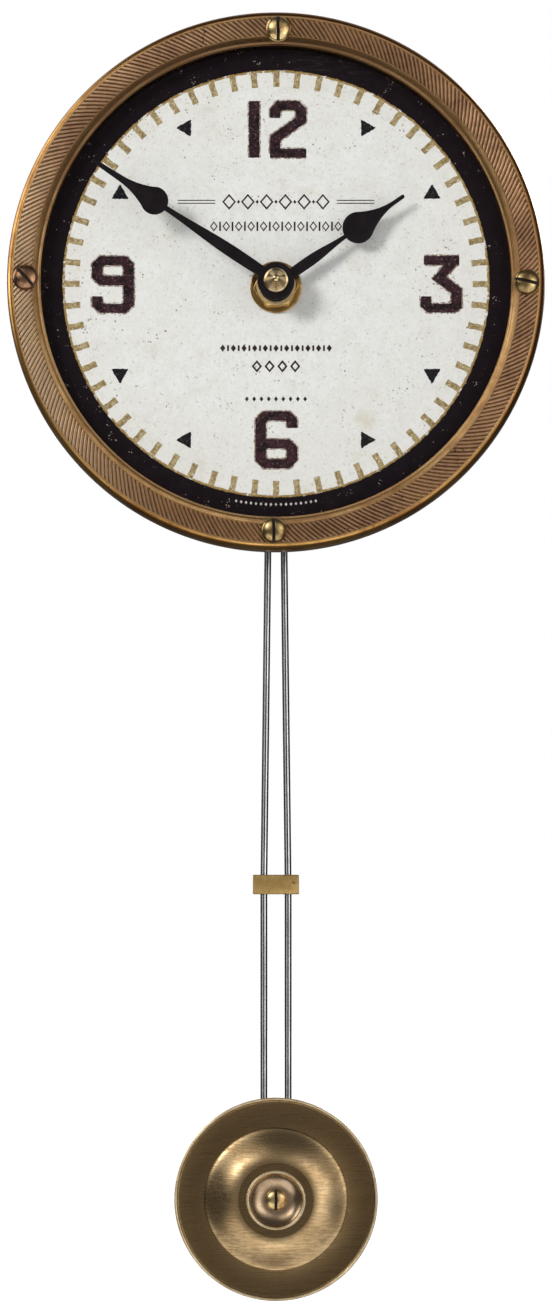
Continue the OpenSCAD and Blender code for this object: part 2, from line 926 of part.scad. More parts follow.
module third_wheel() {
    color(white_plastic)
        wheel_and_pinion(third_at, third_z, train_m, third_depth, thin_t, third_turn,
            third_pinion_z, train_m, centre_depth - lean_t, thin_t + 2 * lean_t);
}

module fourth_wheel() {
    color(white_plastic)
        wheel_and_pinion(fourth_at, fourth_z, fine_m, fourth_depth, thin_t, fourth_turn,
            fourth_pinion_z, train_m, third_depth - lean_t, thin_t + 2 * lean_t);
}

module intermediate_wheel() {
    color(white_plastic)
        wheel_and_pinion(middle_at, middle_z, fine_m, middle_depth, thin_t, middle_turn,
            middle_pinion_z, fine_m, fourth_depth - lean_t, thin_t + 2 * lean_t);
}

module rotor() {
    color(steel)
        on_arbor()
            translate([rotor_at[0], rotor_at[1], 0]) {
                translate([0, 0, -middle_depth - thin_t - lean_t])
                    gear(rotor_z, fine_m, thin_t + 2 * lean_t);
                shaft(magnet_r, magnet_depth, magnet_depth + magnet_t);
                shaft(pivot_r, pivot_front, pivot_back);
            }
}

// The plastic arm that the drive coil pushes, with the pin that the rods hang from
module pendulum_leader() {
    hook_back = rod_depth + hook_plate_t / 2 + 0.4;
    color(white_plastic)
        difference() {
            union() {
                in_movement(leader_front + leader_t) {
                    translate([0, swing_rise, 0])
                        cylinder(r = leader_hub_r, h = leader_t);
                    slab([-leader_half_w / 2, leader_half_w / 2], [leader_low, swing_rise],
                        leader_t);
                    slab([-leader_half_w, leader_half_w],
                        [magnet_drop - pad_half_h, magnet_drop + pad_half_h], leader_t);
                    translate([0, leader_low, 0])
                        cylinder(r = leader_tip_r, h = leader_t);
                }
                in_movement(hook_back, [0, leader_low])
                    cylinder(r = hook_pin_r, h = hook_back - leader_front - leader_t / 2);
                in_movement(hook_back + hook_head_h, [0, leader_low])
                    cylinder(r = hook_head_r, h = hook_head_h);
            }
            in_movement(leader_front + leader_t + eps, [0, swing_rise])
                cylinder(r = pin_r + run, h = leader_t + 2 * eps);
            in_movement(leader_front + magnet_pocket, [0, magnet_drop])
                cylinder(r = drive_magnet_r + snug, h = magnet_pocket + eps);
        }
}

module drive_magnet() {
    color(steel)
        in_movement(leader_front + magnet_pocket, [0, magnet_drop])
            cylinder(r = drive_magnet_r, h = magnet_pocket + 0.1);
}

// One ring of a rod: its corners round a centre x, at a height z
function rod_ring(x, z) =
    [for (i = [0 : rod_sides - 1]) let (a = 360 * i / rod_sides)
        [x + rod_r * cos(a), rod_depth - dial_depth + rod_r * sin(a), z - hanger_rise]];

// A rod that leans outwards down to the guide bar and then runs upright
module rod(side) {
    n = rod_sides;
    points = concat(rod_ring(side * rod_gap / 2, rod_low), rod_ring(side * rod_gap / 2, -guide_drop),
        rod_ring(side * rod_gap_top / 2, rod_top));
    walls = [for (k = [0, 1], i = [0 : n - 1])
        [k * n + i, (k + 1) * n + i, (k + 1) * n + (i + 1) % n, k * n + (i + 1) % n]];
    low_end = [for (i = [0 : n - 1]) i];
    high_end = [for (i = [n - 1 : -1 : 0]) 2 * n + i];
    polyhedron(points = points, faces = concat([low_end, high_end], walls));
}

module pendulum_rods() {
    color(steel)
        for (side = [-1, 1])
            rod(side);
}

// Upright holes for the two rods, a distance apart, between two heights
module rod_holes(gap, low, high, r) {
    for (side = [-1, 1])
        on_dial(-rod_depth)
            translate([side * gap / 2, low, 0])
                rotate([-90, 0, 0])
                    cylinder(r = r, h = high - low);
}

module rod_hook() {
    low = hook_low - arbor_drop;
    color(old_brass)
        difference() {
            in_movement(rod_depth + hook_plate_t / 2)
                slab([-hook_half_w, hook_half_w], [hook_low, hook_high], hook_plate_t);
            in_movement(rod_depth + hook_plate_t, [0, leader_low])
                cylinder(r = hook_pin_r + snug, h = 2 * hook_plate_t);
            rod_holes(rod_gap_top, low - eps, rod_top + snug, rod_r + loose);
        }
}

module guide_bar() {
    half = guide_h / 2;
    color(brass)
        difference() {
            on_dial(-rod_depth - guide_t / 2)
                translate([0, -guide_drop, 0])
                    slab([-guide_w / 2, guide_w / 2], [-half, half], guide_t);
            rod_holes(rod_gap, -guide_drop - half - eps, -guide_drop + half + eps, rod_r + loose);
        }
}

// Places children at the bob's centre, at a height above the dial
module on_bob(h) {
    on_dial(h)
        translate([0, -bob_drop, 0])
            children();
}

// Front outline of the bob: flat rim, step, dome, ridge and centre dimple
function bob_front_line() =
    let (n = 8, dome_low = bob_step_h, ridge_in = bob_dimple_r - bob_ridge_w)
    concat(
        [[bob_r, 0], [bob_r, bob_lip_h], [bob_r - bob_lip_h, bob_lip_h],
            [bob_r - bob_lip_h - bob_rim_h, bob_rim_h], [bob_step_r, bob_rim_h]],
        [for (i = [0 : n]) let (t = i / n)
            [bob_step_r - 0.3 - (bob_step_r - 0.3 - bob_dimple_r) * t,
             dome_low + (bob_dome_h - dome_low) * sin(90 * t)]],
        [for (i = [1 : n]) let (t = i / n)
            [seat_r + (ridge_in - seat_r) * (1 - t),
             bob_well_h + (bob_dome_h - bob_well_h) * pow(1 - t, 2)]],
        [[0, bob_well_h]]
    );

module bob_front() {
    line = bob_front_line();
    inner_h = bob_well_h - shell_t;
    color(brass)
        difference() {
            on_bob(bob_plane)
                rotate_extrude()
                    polygon(concat(line, [[0, inner_h], [weight_r + 0.2, inner_h],
                        [weight_r + 0.2, 0]]));
            on_bob(bob_plane - eps)
                cylinder(r = bob_screw_r + snug, h = bob_dome_h + 2 * eps);
        }
}

module bob_weight() {
    color(steel)
        on_bob(bob_plane)
            ring(weight_r, bob_screw_r + snug, bob_well_h - shell_t - 0.05);
}

// Backing plate with two grooved ribs that the rods run in
module bob_back() {
    color(old_brass)
        difference() {
            on_bob(back_front - back_t)
                union() {
                    cylinder(r = back_r, h = back_t);
                    slab([-guide_w / 2, guide_w / 2], [-rib_half_h, rib_half_h],
                        bob_plane - back_front + back_t - 0.05);
                }
            on_bob(back_front - back_t - eps)
                cylinder(r = bob_screw_r + snug, h = 2 * back_t + rod_d + 2 * eps);
            rod_holes(rod_gap, -bob_drop - bob_r, -bob_drop + bob_r, rod_r + run);
        }
}

module bob_screw() {
    shank = bob_plane + bob_well_h - back_front + back_t + m3_nut_h;
    color(brass)
        on_bob(bob_plane + bob_well_h) {
            rotate(90)
                domed_head(bob_head_r, screw_rim_h, bob_head_h, bob_slot_w, bob_slot_depth);
            translate([0, 0, -shank])
                cylinder(r = bob_screw_r, h = shank);
        }
}

module bob_nut() {
    color(brass)
        on_bob(back_front - back_t - m3_nut_h)
            hex_nut(m3_nut_af, m3_nut_h, bob_screw_r + snug);
}

module battery_cell() {
    color("#3d5a73")
        in_movement(cell_depth, [cell_x, cell_low])
            rotate([-90, 0, 0]) {
                cylinder(r = cell_d / 2, h = cell_len);
                cylinder(r = nub_r, h = cell_len + nub_h);
            }
}

bezel();
bezel_screws();
flange_nuts();
case_drum();
hanger_plate();
hanger_rivets();
dial_plate();
dial_paper();
dial_washer();
centre_nut();
threaded_bushing();
rubber_gasket();
movement_tray();
movement_cover();
cover_screws();
gear_bridge();
circuit_board();
quartz_crystal();
ic_chip();
motor_coil();
motor_stator();
contact_positive();
contact_negative();
pendulum_coil();
pivot_pin();
minute_arbor();
minute_hand();
minute_collet();
cap_nut();
hour_wheel();
hour_hand();
hour_collet();
motion_wheel();
setting_knob();
centre_wheel();
third_wheel();
fourth_wheel();
intermediate_wheel();
rotor();
pendulum_leader();
drive_magnet();
rod_hook();
pendulum_rods();
guide_bar();
bob_front();
bob_weight();
bob_back();
bob_screw();
bob_nut();
battery_cell();
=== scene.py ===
# %% [markdown]
# # Pendulum wall clock
# This lesson dresses a finished mechanical model of a wall clock. The model comes first, as a
# fixed frame: it knows where every part is and how it moves. Here each part gets its visible
# shape and its finish. Everything is in metres in the frame's own axes: the clock faces -Y,
# +Z is up, and the origin is the hole that the clock hangs by.

# %% Load the frame
import bpy
import bmesh
import math
import random
from mathutils import Matrix, Vector


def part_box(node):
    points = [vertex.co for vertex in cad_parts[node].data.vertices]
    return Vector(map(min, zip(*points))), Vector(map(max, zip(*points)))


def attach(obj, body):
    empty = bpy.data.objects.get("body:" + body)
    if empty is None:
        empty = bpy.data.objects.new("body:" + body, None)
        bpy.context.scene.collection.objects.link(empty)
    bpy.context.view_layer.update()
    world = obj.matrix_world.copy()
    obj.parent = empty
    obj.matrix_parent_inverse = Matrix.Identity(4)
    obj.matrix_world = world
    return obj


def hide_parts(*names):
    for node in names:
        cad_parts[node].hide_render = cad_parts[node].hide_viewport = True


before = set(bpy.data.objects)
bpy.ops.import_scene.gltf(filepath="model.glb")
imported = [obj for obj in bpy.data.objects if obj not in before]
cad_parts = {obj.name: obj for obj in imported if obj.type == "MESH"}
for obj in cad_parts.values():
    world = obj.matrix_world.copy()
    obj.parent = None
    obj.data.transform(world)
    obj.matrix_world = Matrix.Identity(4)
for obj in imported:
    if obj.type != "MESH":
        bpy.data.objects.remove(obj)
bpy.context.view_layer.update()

# %% [markdown]
# ## Measures from the frame
# A round clock is easiest to draw on its own face: x to the right, y up and z out of the dial,
# in millimetres, with the dial's centre at zero. One matrix then carries a finished mesh into
# the frame. Its numbers are read from the frame's boxes, so the pieces land where the parts are.

# %% Dial, hub and bob places
MM = 0.001
bezel_low, bezel_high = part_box("bezel")
paper_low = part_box("dial_paper")[0]
washer_low, washer_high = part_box("dial_washer")
bob_low, bob_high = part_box("bob_front")

DIAL_Y = paper_low[1]
DIAL_Z = (bezel_low[2] + bezel_high[2]) / 2
ARBOR = ((washer_low[2] + washer_high[2]) / 2 - DIAL_Z) / MM
BEZEL_R = (bezel_high[0] - bezel_low[0]) / 2 / MM
BEZEL_H = (DIAL_Y - bezel_low[1]) / MM
BEZEL_BACK = (DIAL_Y - bezel_high[1]) / MM
BOB_R = (bob_high[0] - bob_low[0]) / 2 / MM
BOB_Y = ((bob_low[2] + bob_high[2]) / 2 - DIAL_Z) / MM
BOB_PLANE = (DIAL_Y - bob_high[1]) / MM


def face_height(node):
    """Lowest and highest point of a node above the dial, in mm."""
    low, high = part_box(node)
    return (DIAL_Y - high[1]) / MM, (DIAL_Y - low[1]) / MM


ON_DIAL = Matrix.Translation((0, DIAL_Y, DIAL_Z)) @ Matrix.Rotation(math.pi / 2, 4, "X")
ON_DIAL = ON_DIAL @ Matrix.Scale(MM, 4)
print("bezel radius", round(BEZEL_R, 2), "face height", round(BEZEL_H, 2), "arbor", round(ARBOR, 2))

# %% [markdown]
# ## Camera
# The clock is seen straight on, but from lower than its dial, so the camera looks level at the
# wall and the lens is shifted up to take in the dial. A shifted lens keeps upright lines
# upright, where a tilted camera would make them converge.

# %% Camera
CAMERA_GAP = 1.0
CAMERA_DROP = 0.1875
SIGHT_H = 0.37018
camera_data = bpy.data.cameras.new("camera")
camera_data.sensor_width = 36
camera_data.lens = camera_data.sensor_width * CAMERA_GAP / SIGHT_H
camera_data.shift_y = 0.2224
camera_data.clip_start = 0.05
camera_data.clip_end = 60
camera = bpy.data.objects.new("camera", camera_data)
camera.location = (0, DIAL_Y - CAMERA_GAP, DIAL_Z - CAMERA_DROP)
camera.rotation_euler = (math.radians(90), 0, 0)
bpy.context.collection.objects.link(camera)
bpy.context.scene.camera = camera
print("camera at", tuple(round(v, 3) for v in camera.location))

# %% [markdown]
# ## Shader helpers
# A node tree is quicker to read as a few words than as dozens of node and link lines. The
# small class below adds a node, sets its inputs by name or number and hands back its output, so
# that a tree can be written as one sentence after another. The materials, the world and the
# tree that repeats shapes are all written with it.

# %% A short way to write node trees
class Shade:
    def __init__(self, tree):
        self.tree = tree

    def add(self, kind, out=0, settings=None, **inputs):
        node = self.tree.nodes.new(kind)
        for key, value in (settings or {}).items():
            setattr(node, key, value)
        for key, value in inputs.items():
            socket = node.inputs[int(key[1:])] if key[0] == "i" and key[1:].isdigit() else (
                node.inputs[key.replace("_", " ")])
            if isinstance(value, bpy.types.NodeSocket):
                self.tree.links.new(value, socket)
            else:
                socket.default_value = value
        return node.outputs[out]

    def place(self):
        return self.add("ShaderNodeTexCoord", "Object")

    def stretch(self, vector, scale, turn=(0, 0, 0)):
        return self.add("ShaderNodeMapping", Vector=vector, Scale=scale, Rotation=turn)

    def noise(self, vector, scale, detail=4.0, rough=0.55):
        return self.add("ShaderNodeTexNoise", "Fac", Vector=vector, Scale=scale, Detail=detail,
                        Roughness=rough)

    def cells(self, vector, scale):
        return self.add("ShaderNodeTexVoronoi", "Distance", Vector=vector, Scale=scale)

    def math(self, operation, a, b=0.0):
        return self.add("ShaderNodeMath", settings={"operation": operation}, i0=a, i1=b)

    def band(self, value, low, high, to_low=0.0, to_high=1.0):
        return self.add("ShaderNodeMapRange", "Result", settings={"interpolation_type":
                        "SMOOTHSTEP"}, i0=value, i1=low, i2=high, i3=to_low, i4=to_high)

    def mix(self, factor, a, b):
        node = self.tree.nodes.new("ShaderNodeMix")
        node.data_type = "RGBA"
        for socket, value in ((node.inputs[0], factor), (node.inputs[6], a), (node.inputs[7], b)):
            if isinstance(value, bpy.types.NodeSocket):
                self.tree.links.new(value, socket)
            elif socket.type == "RGBA":
                socket.default_value = (*value[:3], 1)
            else:
                socket.default_value = value
        return node.outputs[2]

    def bump(self, height, strength, distance, normal=None):
        extra = {"Normal": normal} if normal else {}
        return self.add("ShaderNodeBump", "Normal", Height=height, Strength=strength,
                        Distance=distance, **extra)


def srgb(r, g, b):
    """A colour named in ordinary 0 to 255 steps, as the shader wants it."""
    def one(v):
        v /= 255
        return v / 12.92 if v <= 0.04045 else ((v + 0.055) / 1.055) ** 2.4
    return (one(r), one(g), one(b))


def new_group(name, inputs):
    """A shader node group that gives out a mask; values are its inputs' defaults."""
    tree = bpy.data.node_groups.new(name, "ShaderNodeTree")
    for key, value in inputs.items():
        kind = "NodeSocketVector" if value is None else "NodeSocketFloat"
        socket = tree.interface.new_socket(name=key, in_out="INPUT", socket_type=kind)
        if value is not None:
            socket.default_value = value
    tree.interface.new_socket(name="Mask", in_out="OUTPUT", socket_type="NodeSocketFloat")
    source = tree.nodes.new("NodeGroupInput")
    sink = tree.nodes.new("NodeGroupOutput")
    return tree, Shade(tree), source.outputs, sink.inputs


def use_group(shade, tree, **inputs):
    return shade.add("ShaderNodeGroup", "Mask", {"node_tree": tree}, **inputs)


def new_material(name, metallic=0.0, **fixed):
    """A material and its Principled shader. Uniform numbers go on the shader's own sockets."""
    material = bpy.data.materials.new(name)
    material.use_nodes = True
    tree = material.node_tree
    shader = tree.nodes["Principled BSDF"]
    shader.inputs["Metallic"].default_value = metallic
    for key, value in fixed.items():
        shader.inputs[key.replace("_", " ")].default_value = value
    return material, Shade(tree), shader


def wire_up(shade, shader, **sockets):
    for key, value in sockets.items():
        shade.tree.links.new(value, shader.inputs[key.replace("_", " ")])


# %% [markdown]
# ## Light
# Aged brass is mostly what it reflects. One broad lamp to the upper left gives the hands their
# soft shadows, and a weak one behind shows the back when the clock is turned. The world is
# white to the eye and to matt surfaces, but polished metal sees a studio in it: a dim room with
# a few soft white panels, and a dark patch straight ahead where the camera stands. That studio,
# with painted shade and a painted highlight in the bezel's brasses, makes one side of the bezel
# gold and the other side brown. It draws the bright patch on the bob's dome, and with a painted
# dark line it draws the dark line down the middle of each rod.

# %% Lamps and world
def soft_lamp(name, place, size, watts, colour=(1, 1, 1)):
    data = bpy.data.lights.new(name, "AREA")
    data.shape = "DISK"
    data.size = size
    data.energy = watts
    data.color = colour
    lamp = bpy.data.objects.new(name, data)
    lamp.location = place
    aim = Vector((0, DIAL_Y, DIAL_Z)) - Vector(place)
    lamp.rotation_euler = aim.to_track_quat("-Z", "Y").to_euler()
    bpy.context.collection.objects.link(lamp)
    return lamp


key_lamp = soft_lamp("key_lamp", (-1.1, -1.4, 0.52), 0.55, 20, (1.0, 0.99, 0.975))
fill_lamp = soft_lamp("fill_lamp", (1.2, -1.6, 0.1), 1.2, 4)
rear_lamp = soft_lamp("rear_lamp", (0.9, 1.5, 0.7), 0.8, 16)
key_lamp.visible_glossy = False

world = bpy.data.worlds.new("studio")
bpy.context.scene.world = world
world.use_nodes = True
sky = world.node_tree
sky.nodes.clear()
sh = Shade(sky)
WHITE = (1.0, 1.0, 1.0, 1)
MATT_GLOW = 0.45
FRONT_GLOW = 0.27
BASE_GLOW = 0.11
PANELS = (
    ((-0.50, -0.74, 0.48), 26, 16, 1.25),
    ((-0.54, -0.72, 0.44), 11, 8, 4.6),
    ((-0.86, 0.20, 0.46), 32, 14, 3.2),
    ((0.42, -0.70, -0.58), 36, 18, 1.05),
    ((-0.38, -0.68, -0.62), 30, 14, 1.15),
    ((0.60, -0.78, 0.16), 34, 14, 0.62),
    ((0.05, -0.62, -0.78), 24, 12, 0.35),
    ((0.25, 0.72, 0.65), 45, 20, 0.55),
    ((0.00, -1.00, 0.03), 15, 9, -0.17),
    ((-0.60, -0.80, -0.04), 19, 10, -0.17),
)
direction = sh.add("ShaderNodeTexCoord", "Generated")


def sky_patch(aim, outer, inner, low, high):
    """Light that grows smoothly from low to high as a direction turns towards aim."""
    facing = sh.add("ShaderNodeVectorMath", "Value", {"operation": "DOT_PRODUCT"},
                    i0=direction, i1=aim)
    return sh.band(facing, outer, inner, low, high)


studio = sky_patch((0, -1, 0), 0.45, 1.0, BASE_GLOW, BASE_GLOW + FRONT_GLOW)
for aim, wide, soft, strength in PANELS:
    patch = sky_patch(Vector(aim).normalized(), math.cos(math.radians(wide)),
                      math.cos(math.radians(wide - soft)), 0.0, strength)
    studio = sh.math("ADD", patch, studio)
rays = sky.nodes.new("ShaderNodeLightPath").outputs
plain = sh.add("ShaderNodeBackground", Color=WHITE, Strength=MATT_GLOW)
seen = sh.add("ShaderNodeBackground", Color=WHITE)
shiny = sh.add("ShaderNodeBackground", Strength=studio)
unseen_sky = sh.add("ShaderNodeMixShader", i0=rays["Is Glossy Ray"], i1=plain, i2=shiny)
whole_sky = sh.add("ShaderNodeMixShader", i0=rays["Is Camera Ray"], i1=unseen_sky, i2=seen)
sky.links.new(whole_sky, sky.nodes.new("ShaderNodeOutputWorld").inputs["Surface"])
bpy.context.scene.view_settings.view_transform = "Standard"
print("lamps:", key_lamp.name, fill_lamp.name, rear_lamp.name)

# %% [markdown]
# ## Mesh helpers
# Nearly every part of a clock is turned, cut from sheet or drawn wire. Three helpers cover
# them: a lathe that spins an outline, a press that gives a flat outline a thickness, and a
# draw-bench that pulls a round section along a line and skins it. A fourth rounds an outline's corners
# first, because real edges are never perfectly sharp and a small round catches the light.

# %% Lathe, press and draw-bench
def rounded(points, radius, steps=4):
    """A closed outline with each corner rounded by an arc-like curve."""
    out = []
    count = len(points)
    for i, corner in enumerate(points):
        corner = Vector(corner)
        back = Vector(points[i - 1]) - corner
        on = Vector(points[(i + 1) % count]) - corner
        cut = min(radius, back.length * 0.45, on.length * 0.45)
        if cut <= 0 or (corner[0] == 0):
            out.append(corner)
            continue
        a = corner + back.normalized() * cut
        b = corner + on.normalized() * cut
        for k in range(steps + 1):
            t = k / steps
            out.append((1 - t) ** 2 * a + 2 * t * (1 - t) * corner + t * t * b)
    return [tuple(p) for p in out]


def to_object(name, build, material, sharp=35, where=ON_DIAL):
    """A finished object from a bmesh: merged, facing outwards, in place, smooth but for edges."""
    bmesh.ops.remove_doubles(build, verts=build.verts, dist=1e-5)
    bmesh.ops.recalc_face_normals(build, faces=build.faces)
    mesh = bpy.data.meshes.new(name)
    build.to_mesh(mesh)
    build.free()
    mesh.transform(where)
    for polygon in mesh.polygons:
        polygon.use_smooth = True
    mesh.set_sharp_from_angle(angle=math.radians(sharp))
    mesh.materials.append(material)
    piece = bpy.data.objects.new(name, mesh)
    bpy.context.collection.objects.link(piece)
    return piece


def turn(build, outline, segments=128, centre=(0, 0), waist=None):
    """Spins a closed outline of (radius, height) about z. waist(angle, r, z) may reshape r."""
    rings = []
    for i in range(segments):
        angle = 2 * math.pi * i / segments
        ring = []
        for r, z in outline:
            if waist:
                r = waist(angle, r, z)
            ring.append(build.verts.new(
                (centre[0] + r * math.cos(angle), centre[1] + r * math.sin(angle), z)))
        rings.append(ring)
    count = len(outline)
    for i in range(segments):
        here, there = rings[i], rings[(i + 1) % segments]
        for k in range(count):
            j = (k + 1) % count
            if outline[k][0] == 0 and outline[j][0] == 0:
                continue
            corners = [here[k], there[k], there[j], here[j]]
            if outline[k][0] == 0:
                corners = [here[k], there[j], here[j]]
            elif outline[j][0] == 0:
                corners = [here[k], there[k], here[j]]
            build.faces.new(corners)
    return build


def press(build, outline, low, high):
    """Gives a flat outline of (x, y) points a thickness from low to high."""
    bottom = [build.verts.new((x, y, low)) for x, y in outline]
    top = [build.verts.new((x, y, high)) for x, y in outline]
    build.faces.new(top)
    build.faces.new(bottom[::-1])
    count = len(outline)
    for k in range(count):
        j = (k + 1) % count
        build.faces.new([bottom[k], bottom[j], top[j], top[k]])
    return build


def skin(build, rings):
    """Joins rings of points, each to the next, and closes both ends."""
    count = len(rings[0])
    for a, b in zip(rings, rings[1:]):
        for k in range(count):
            j = (k + 1) % count
            build.faces.new([a[k], a[j], b[j], b[k]])
    build.faces.new(rings[0][::-1])
    build.faces.new(rings[-1])


WIRE_SIDES = 32


def draw_wire(build, points, radius):
    """Pulls a round section along points, with slightly rounded ends."""
    spine = [Vector(p) for p in points]
    rings = []
    stations = []
    for i, p in enumerate(spine):
        ahead = (spine[min(i + 1, len(spine) - 1)] - spine[max(i - 1, 0)]).normalized()
        stations.append((p, ahead, 1.0))
    first, last = stations[0], stations[-1]
    chamfer = radius * 0.2
    stations[0] = (first[0] + first[1] * chamfer, first[1], 1.0)
    stations[-1] = (last[0] - last[1] * chamfer, last[1], 1.0)
    stations = [(first[0], first[1], 0.8)] + stations + [(last[0], last[1], 0.8)]
    for p, ahead, grow in stations:
        side = ahead.orthogonal().normalized()
        if abs(ahead.z) < 0.9:
            side = ahead.cross(Vector((0, 0, 1))).normalized()
        up = ahead.cross(side)
        rings.append([
            build.verts.new(p + radius * grow * (
                side * math.cos(2 * math.pi * k / WIRE_SIDES)
                + up * math.sin(2 * math.pi * k / WIRE_SIDES)))
            for k in range(WIRE_SIDES)])
    skin(build, rings)


def finish_piece(piece, body, slot, *nodes):
    """Every new piece rides on a body and may stand for CAD nodes, which are hidden; slot is not used."""
    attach(piece, body)
    if nodes:
        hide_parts(*nodes)
    print(f"{piece.name}: {len(piece.data.polygons)} faces on {body}")


# %% [markdown]
# ## Shared wear
# Old brass tarnishes in soft clouds, picks up dark specks, and is scratched by years of
# wiping. The same three effects are on the bezel, the screws and the bob in different amounts,
# so each is a node group with its own scale and amount, made once and used many times. A group
# gives out only a mask; each material decides what the mask does.

# %% Tarnish, specks and hairline scratches
tarnish, sh, given, wanted = new_group(
    "tarnish", {"Vector": None, "Scale": 60.0, "Contrast": 0.5})
cloud = sh.noise(given["Vector"], given["Scale"], 6.0, 0.62)
fine_scale = sh.math("MULTIPLY", given["Scale"], 7.0)
fine = sh.noise(given["Vector"], fine_scale, 3.0, 0.7)
blend = sh.math("ADD", sh.math("MULTIPLY", cloud, 0.72), sh.math("MULTIPLY", fine, 0.28))
spread = sh.math("MULTIPLY", given["Contrast"], 0.25)
low_edge = sh.math("SUBTRACT", 0.5, sh.math("SUBTRACT", 0.27, spread))
high_edge = sh.math("ADD", 0.5, sh.math("SUBTRACT", 0.27, spread))
tarnish.links.new(sh.band(blend, low_edge, high_edge), wanted["Mask"])

specks, sh, given, wanted = new_group(
    "specks", {"Vector": None, "Scale": 500.0, "Amount": 0.3})
dots = sh.cells(given["Vector"], given["Scale"])
patches = sh.noise(given["Vector"], sh.math("MULTIPLY", given["Scale"], 0.22), 2.0)
size = sh.math("MULTIPLY", sh.band(patches, 0.5, 0.75), given["Amount"])
tarnish_edge = sh.math("MULTIPLY", size, 0.6)
specks.links.new(sh.band(dots, size, tarnish_edge), wanted["Mask"])

hairlines, sh, given, wanted = new_group(
    "hairlines", {"Vector": None, "Scale": 200.0, "Amount": 0.5})
total = None
for k in range(3):
    spun = sh.stretch(given["Vector"], (1.0, 1.0, 14.0), (0.3 * k, 0.9 * k + 0.4, 1.1 * k))
    lines = sh.noise(spun, given["Scale"], 1.0, 0.4)
    thin = sh.band(sh.math("ABSOLUTE", sh.math("SUBTRACT", lines, 0.5)), 0.010, 0.0)
    total = thin if total is None else sh.math("MAXIMUM", total, thin)
gate = sh.band(sh.noise(given["Vector"], sh.math("MULTIPLY", given["Scale"], 0.3)), 0.52, 0.7)
kept = sh.math("MULTIPLY", sh.math("MULTIPLY", total, gate), given["Amount"])
hairlines.links.new(kept, wanted["Mask"])
print("groups:", tarnish.name, specks.name, hairlines.name)

# %% [markdown]
# ## Metals
# A metal's colour is its reflection's colour, so the tarnish mask changes both colour and
# roughness: clean brass is light and smooth, tarnished brass is brown and dull. A very low
# bump of fine grain stops the reflections from looking like a computer's. A metal may also
# lean: painted shade or a painted highlight grows along one direction over the dial. It may
# have dark valleys, painted shade on its edges with a darker painted line down its middle, as
# the reflection on a round wire looks, or dark sectors painted round an axis, as the reflection
# on spun brass looks.

# %% Aged brass and steel
METAL_GRAIN = 2600.0


def aged_metal(name, clean, dull, rough=(0.25, 0.5), cloud=55.0, contrast=0.4, speck=0.2,
               lines=0.3, grain=0.02, brushed=None, dark=None, metallic=1.0,
               stroke=0.03, valley=None, edge=None, core=None, lean=None, spun=0.0):
    material, sh, shader = new_material(name, metallic=metallic)
    at = sh.place()
    mask = use_group(sh, tarnish, Vector=at, Scale=cloud, Contrast=contrast)
    dots = use_group(sh, specks, Vector=at, Scale=650.0, Amount=speck)
    hairs = use_group(sh, hairlines, Vector=at, Scale=140.0, Amount=lines)
    colour = sh.mix(mask, clean, dull)
    colour = sh.mix(sh.math("MULTIPLY", dots, 0.8), colour, dark or [v * 0.25 for v in dull])
    colour = sh.mix(hairs, colour, [min(1, v * 1.25) for v in clean])
    roughness = sh.band(mask, 0.0, 1.0, rough[0], rough[1])
    roughness = sh.math("ADD", roughness, sh.math("MULTIPLY", dots, 0.2))
    height = sh.noise(at, METAL_GRAIN, 3.0, 0.6)
    normal = sh.bump(height, 0.35, grain * MM)
    if brushed:
        strokes = sh.noise(sh.stretch(at, brushed), 1.0, 4.0, 0.65)
        colour = sh.mix(sh.band(strokes, 0.35, 0.65, 0.0, 0.38), colour,
                        [v * 0.5 for v in dull])
        roughness = sh.math("ADD", roughness, sh.band(strokes, 0.3, 0.7, -0.06, 0.08))
        normal = sh.bump(strokes, 0.6, stroke * MM, normal)
    # lean paints light and shade into the colour: a dark tint is painted shade, a light tint a painted
    # highlight, growing along one direction over the dial.
    if lean:
        angle, first, last, amount, stain_and_painted_light = lean
        toward = (math.cos(math.radians(angle)) / MM / BEZEL_R, 0,
                  math.sin(math.radians(angle)) / MM / BEZEL_R)
        along = sh.add("ShaderNodeVectorMath", "Value", settings={"operation": "DOT_PRODUCT"},
                       i0=at, i1=toward)
        along = sh.math("SUBTRACT", along, toward[2] * DIAL_Z)
        colour = sh.mix(sh.band(along, first, last, 0.0, amount), colour, stain_and_painted_light)
    if valley:
        depth = sh.add("ShaderNodeSeparateXYZ", "Y", Vector=at)
        grime = sh.band(depth, DIAL_Y - valley[1] * MM, DIAL_Y - valley[0] * MM)
        colour = sh.mix(sh.math("MULTIPLY", grime, 0.85), colour, srgb(46, 30, 20))
    # Painted shade: edges seen at a grazing angle are darkened, and core paints a darker line down the
    # middle, as the reflection on a polished round rod looks.
    if edge:
        facing = sh.add("ShaderNodeLayerWeight", "Facing", Blend=0.5)
        colour = sh.mix(sh.band(facing, 0.09, 0.25), colour, edge)
        if core:
            colour = sh.mix(sh.band(facing, 0.030, 0.012), colour, core)
    if spun:
        around = sh.add("ShaderNodeTangent", "Tangent",
                        settings={"direction_type": "RADIAL", "axis": "Y"})
        shader.inputs["Anisotropic"].default_value = spun
        shader.inputs["Anisotropic Rotation"].default_value = 0.25
        wire_up(sh, shader, Tangent=around)
        # Painted reflection: dark sectors round the axis stand in for the wedges of light that spun brass
        # reflects.
        across = sh.add("ShaderNodeSeparateXYZ", "X", Vector=at)
        upward = sh.add("ShaderNodeSeparateXYZ", "Z", Vector=at)
        upward = sh.math("SUBTRACT", upward, DIAL_Z + ARBOR * MM)
        sector_reflection = sh.math("SINE", sh.math("MULTIPLY", sh.math("ARCTAN2", upward, across), 3.0))
        colour = sh.mix(sh.band(sector_reflection, -0.1, -0.9, 0.0, 0.7), colour, srgb(92, 72, 48))
    wire_up(sh, shader, Base_Color=colour, Roughness=roughness, Normal=normal)
    return material


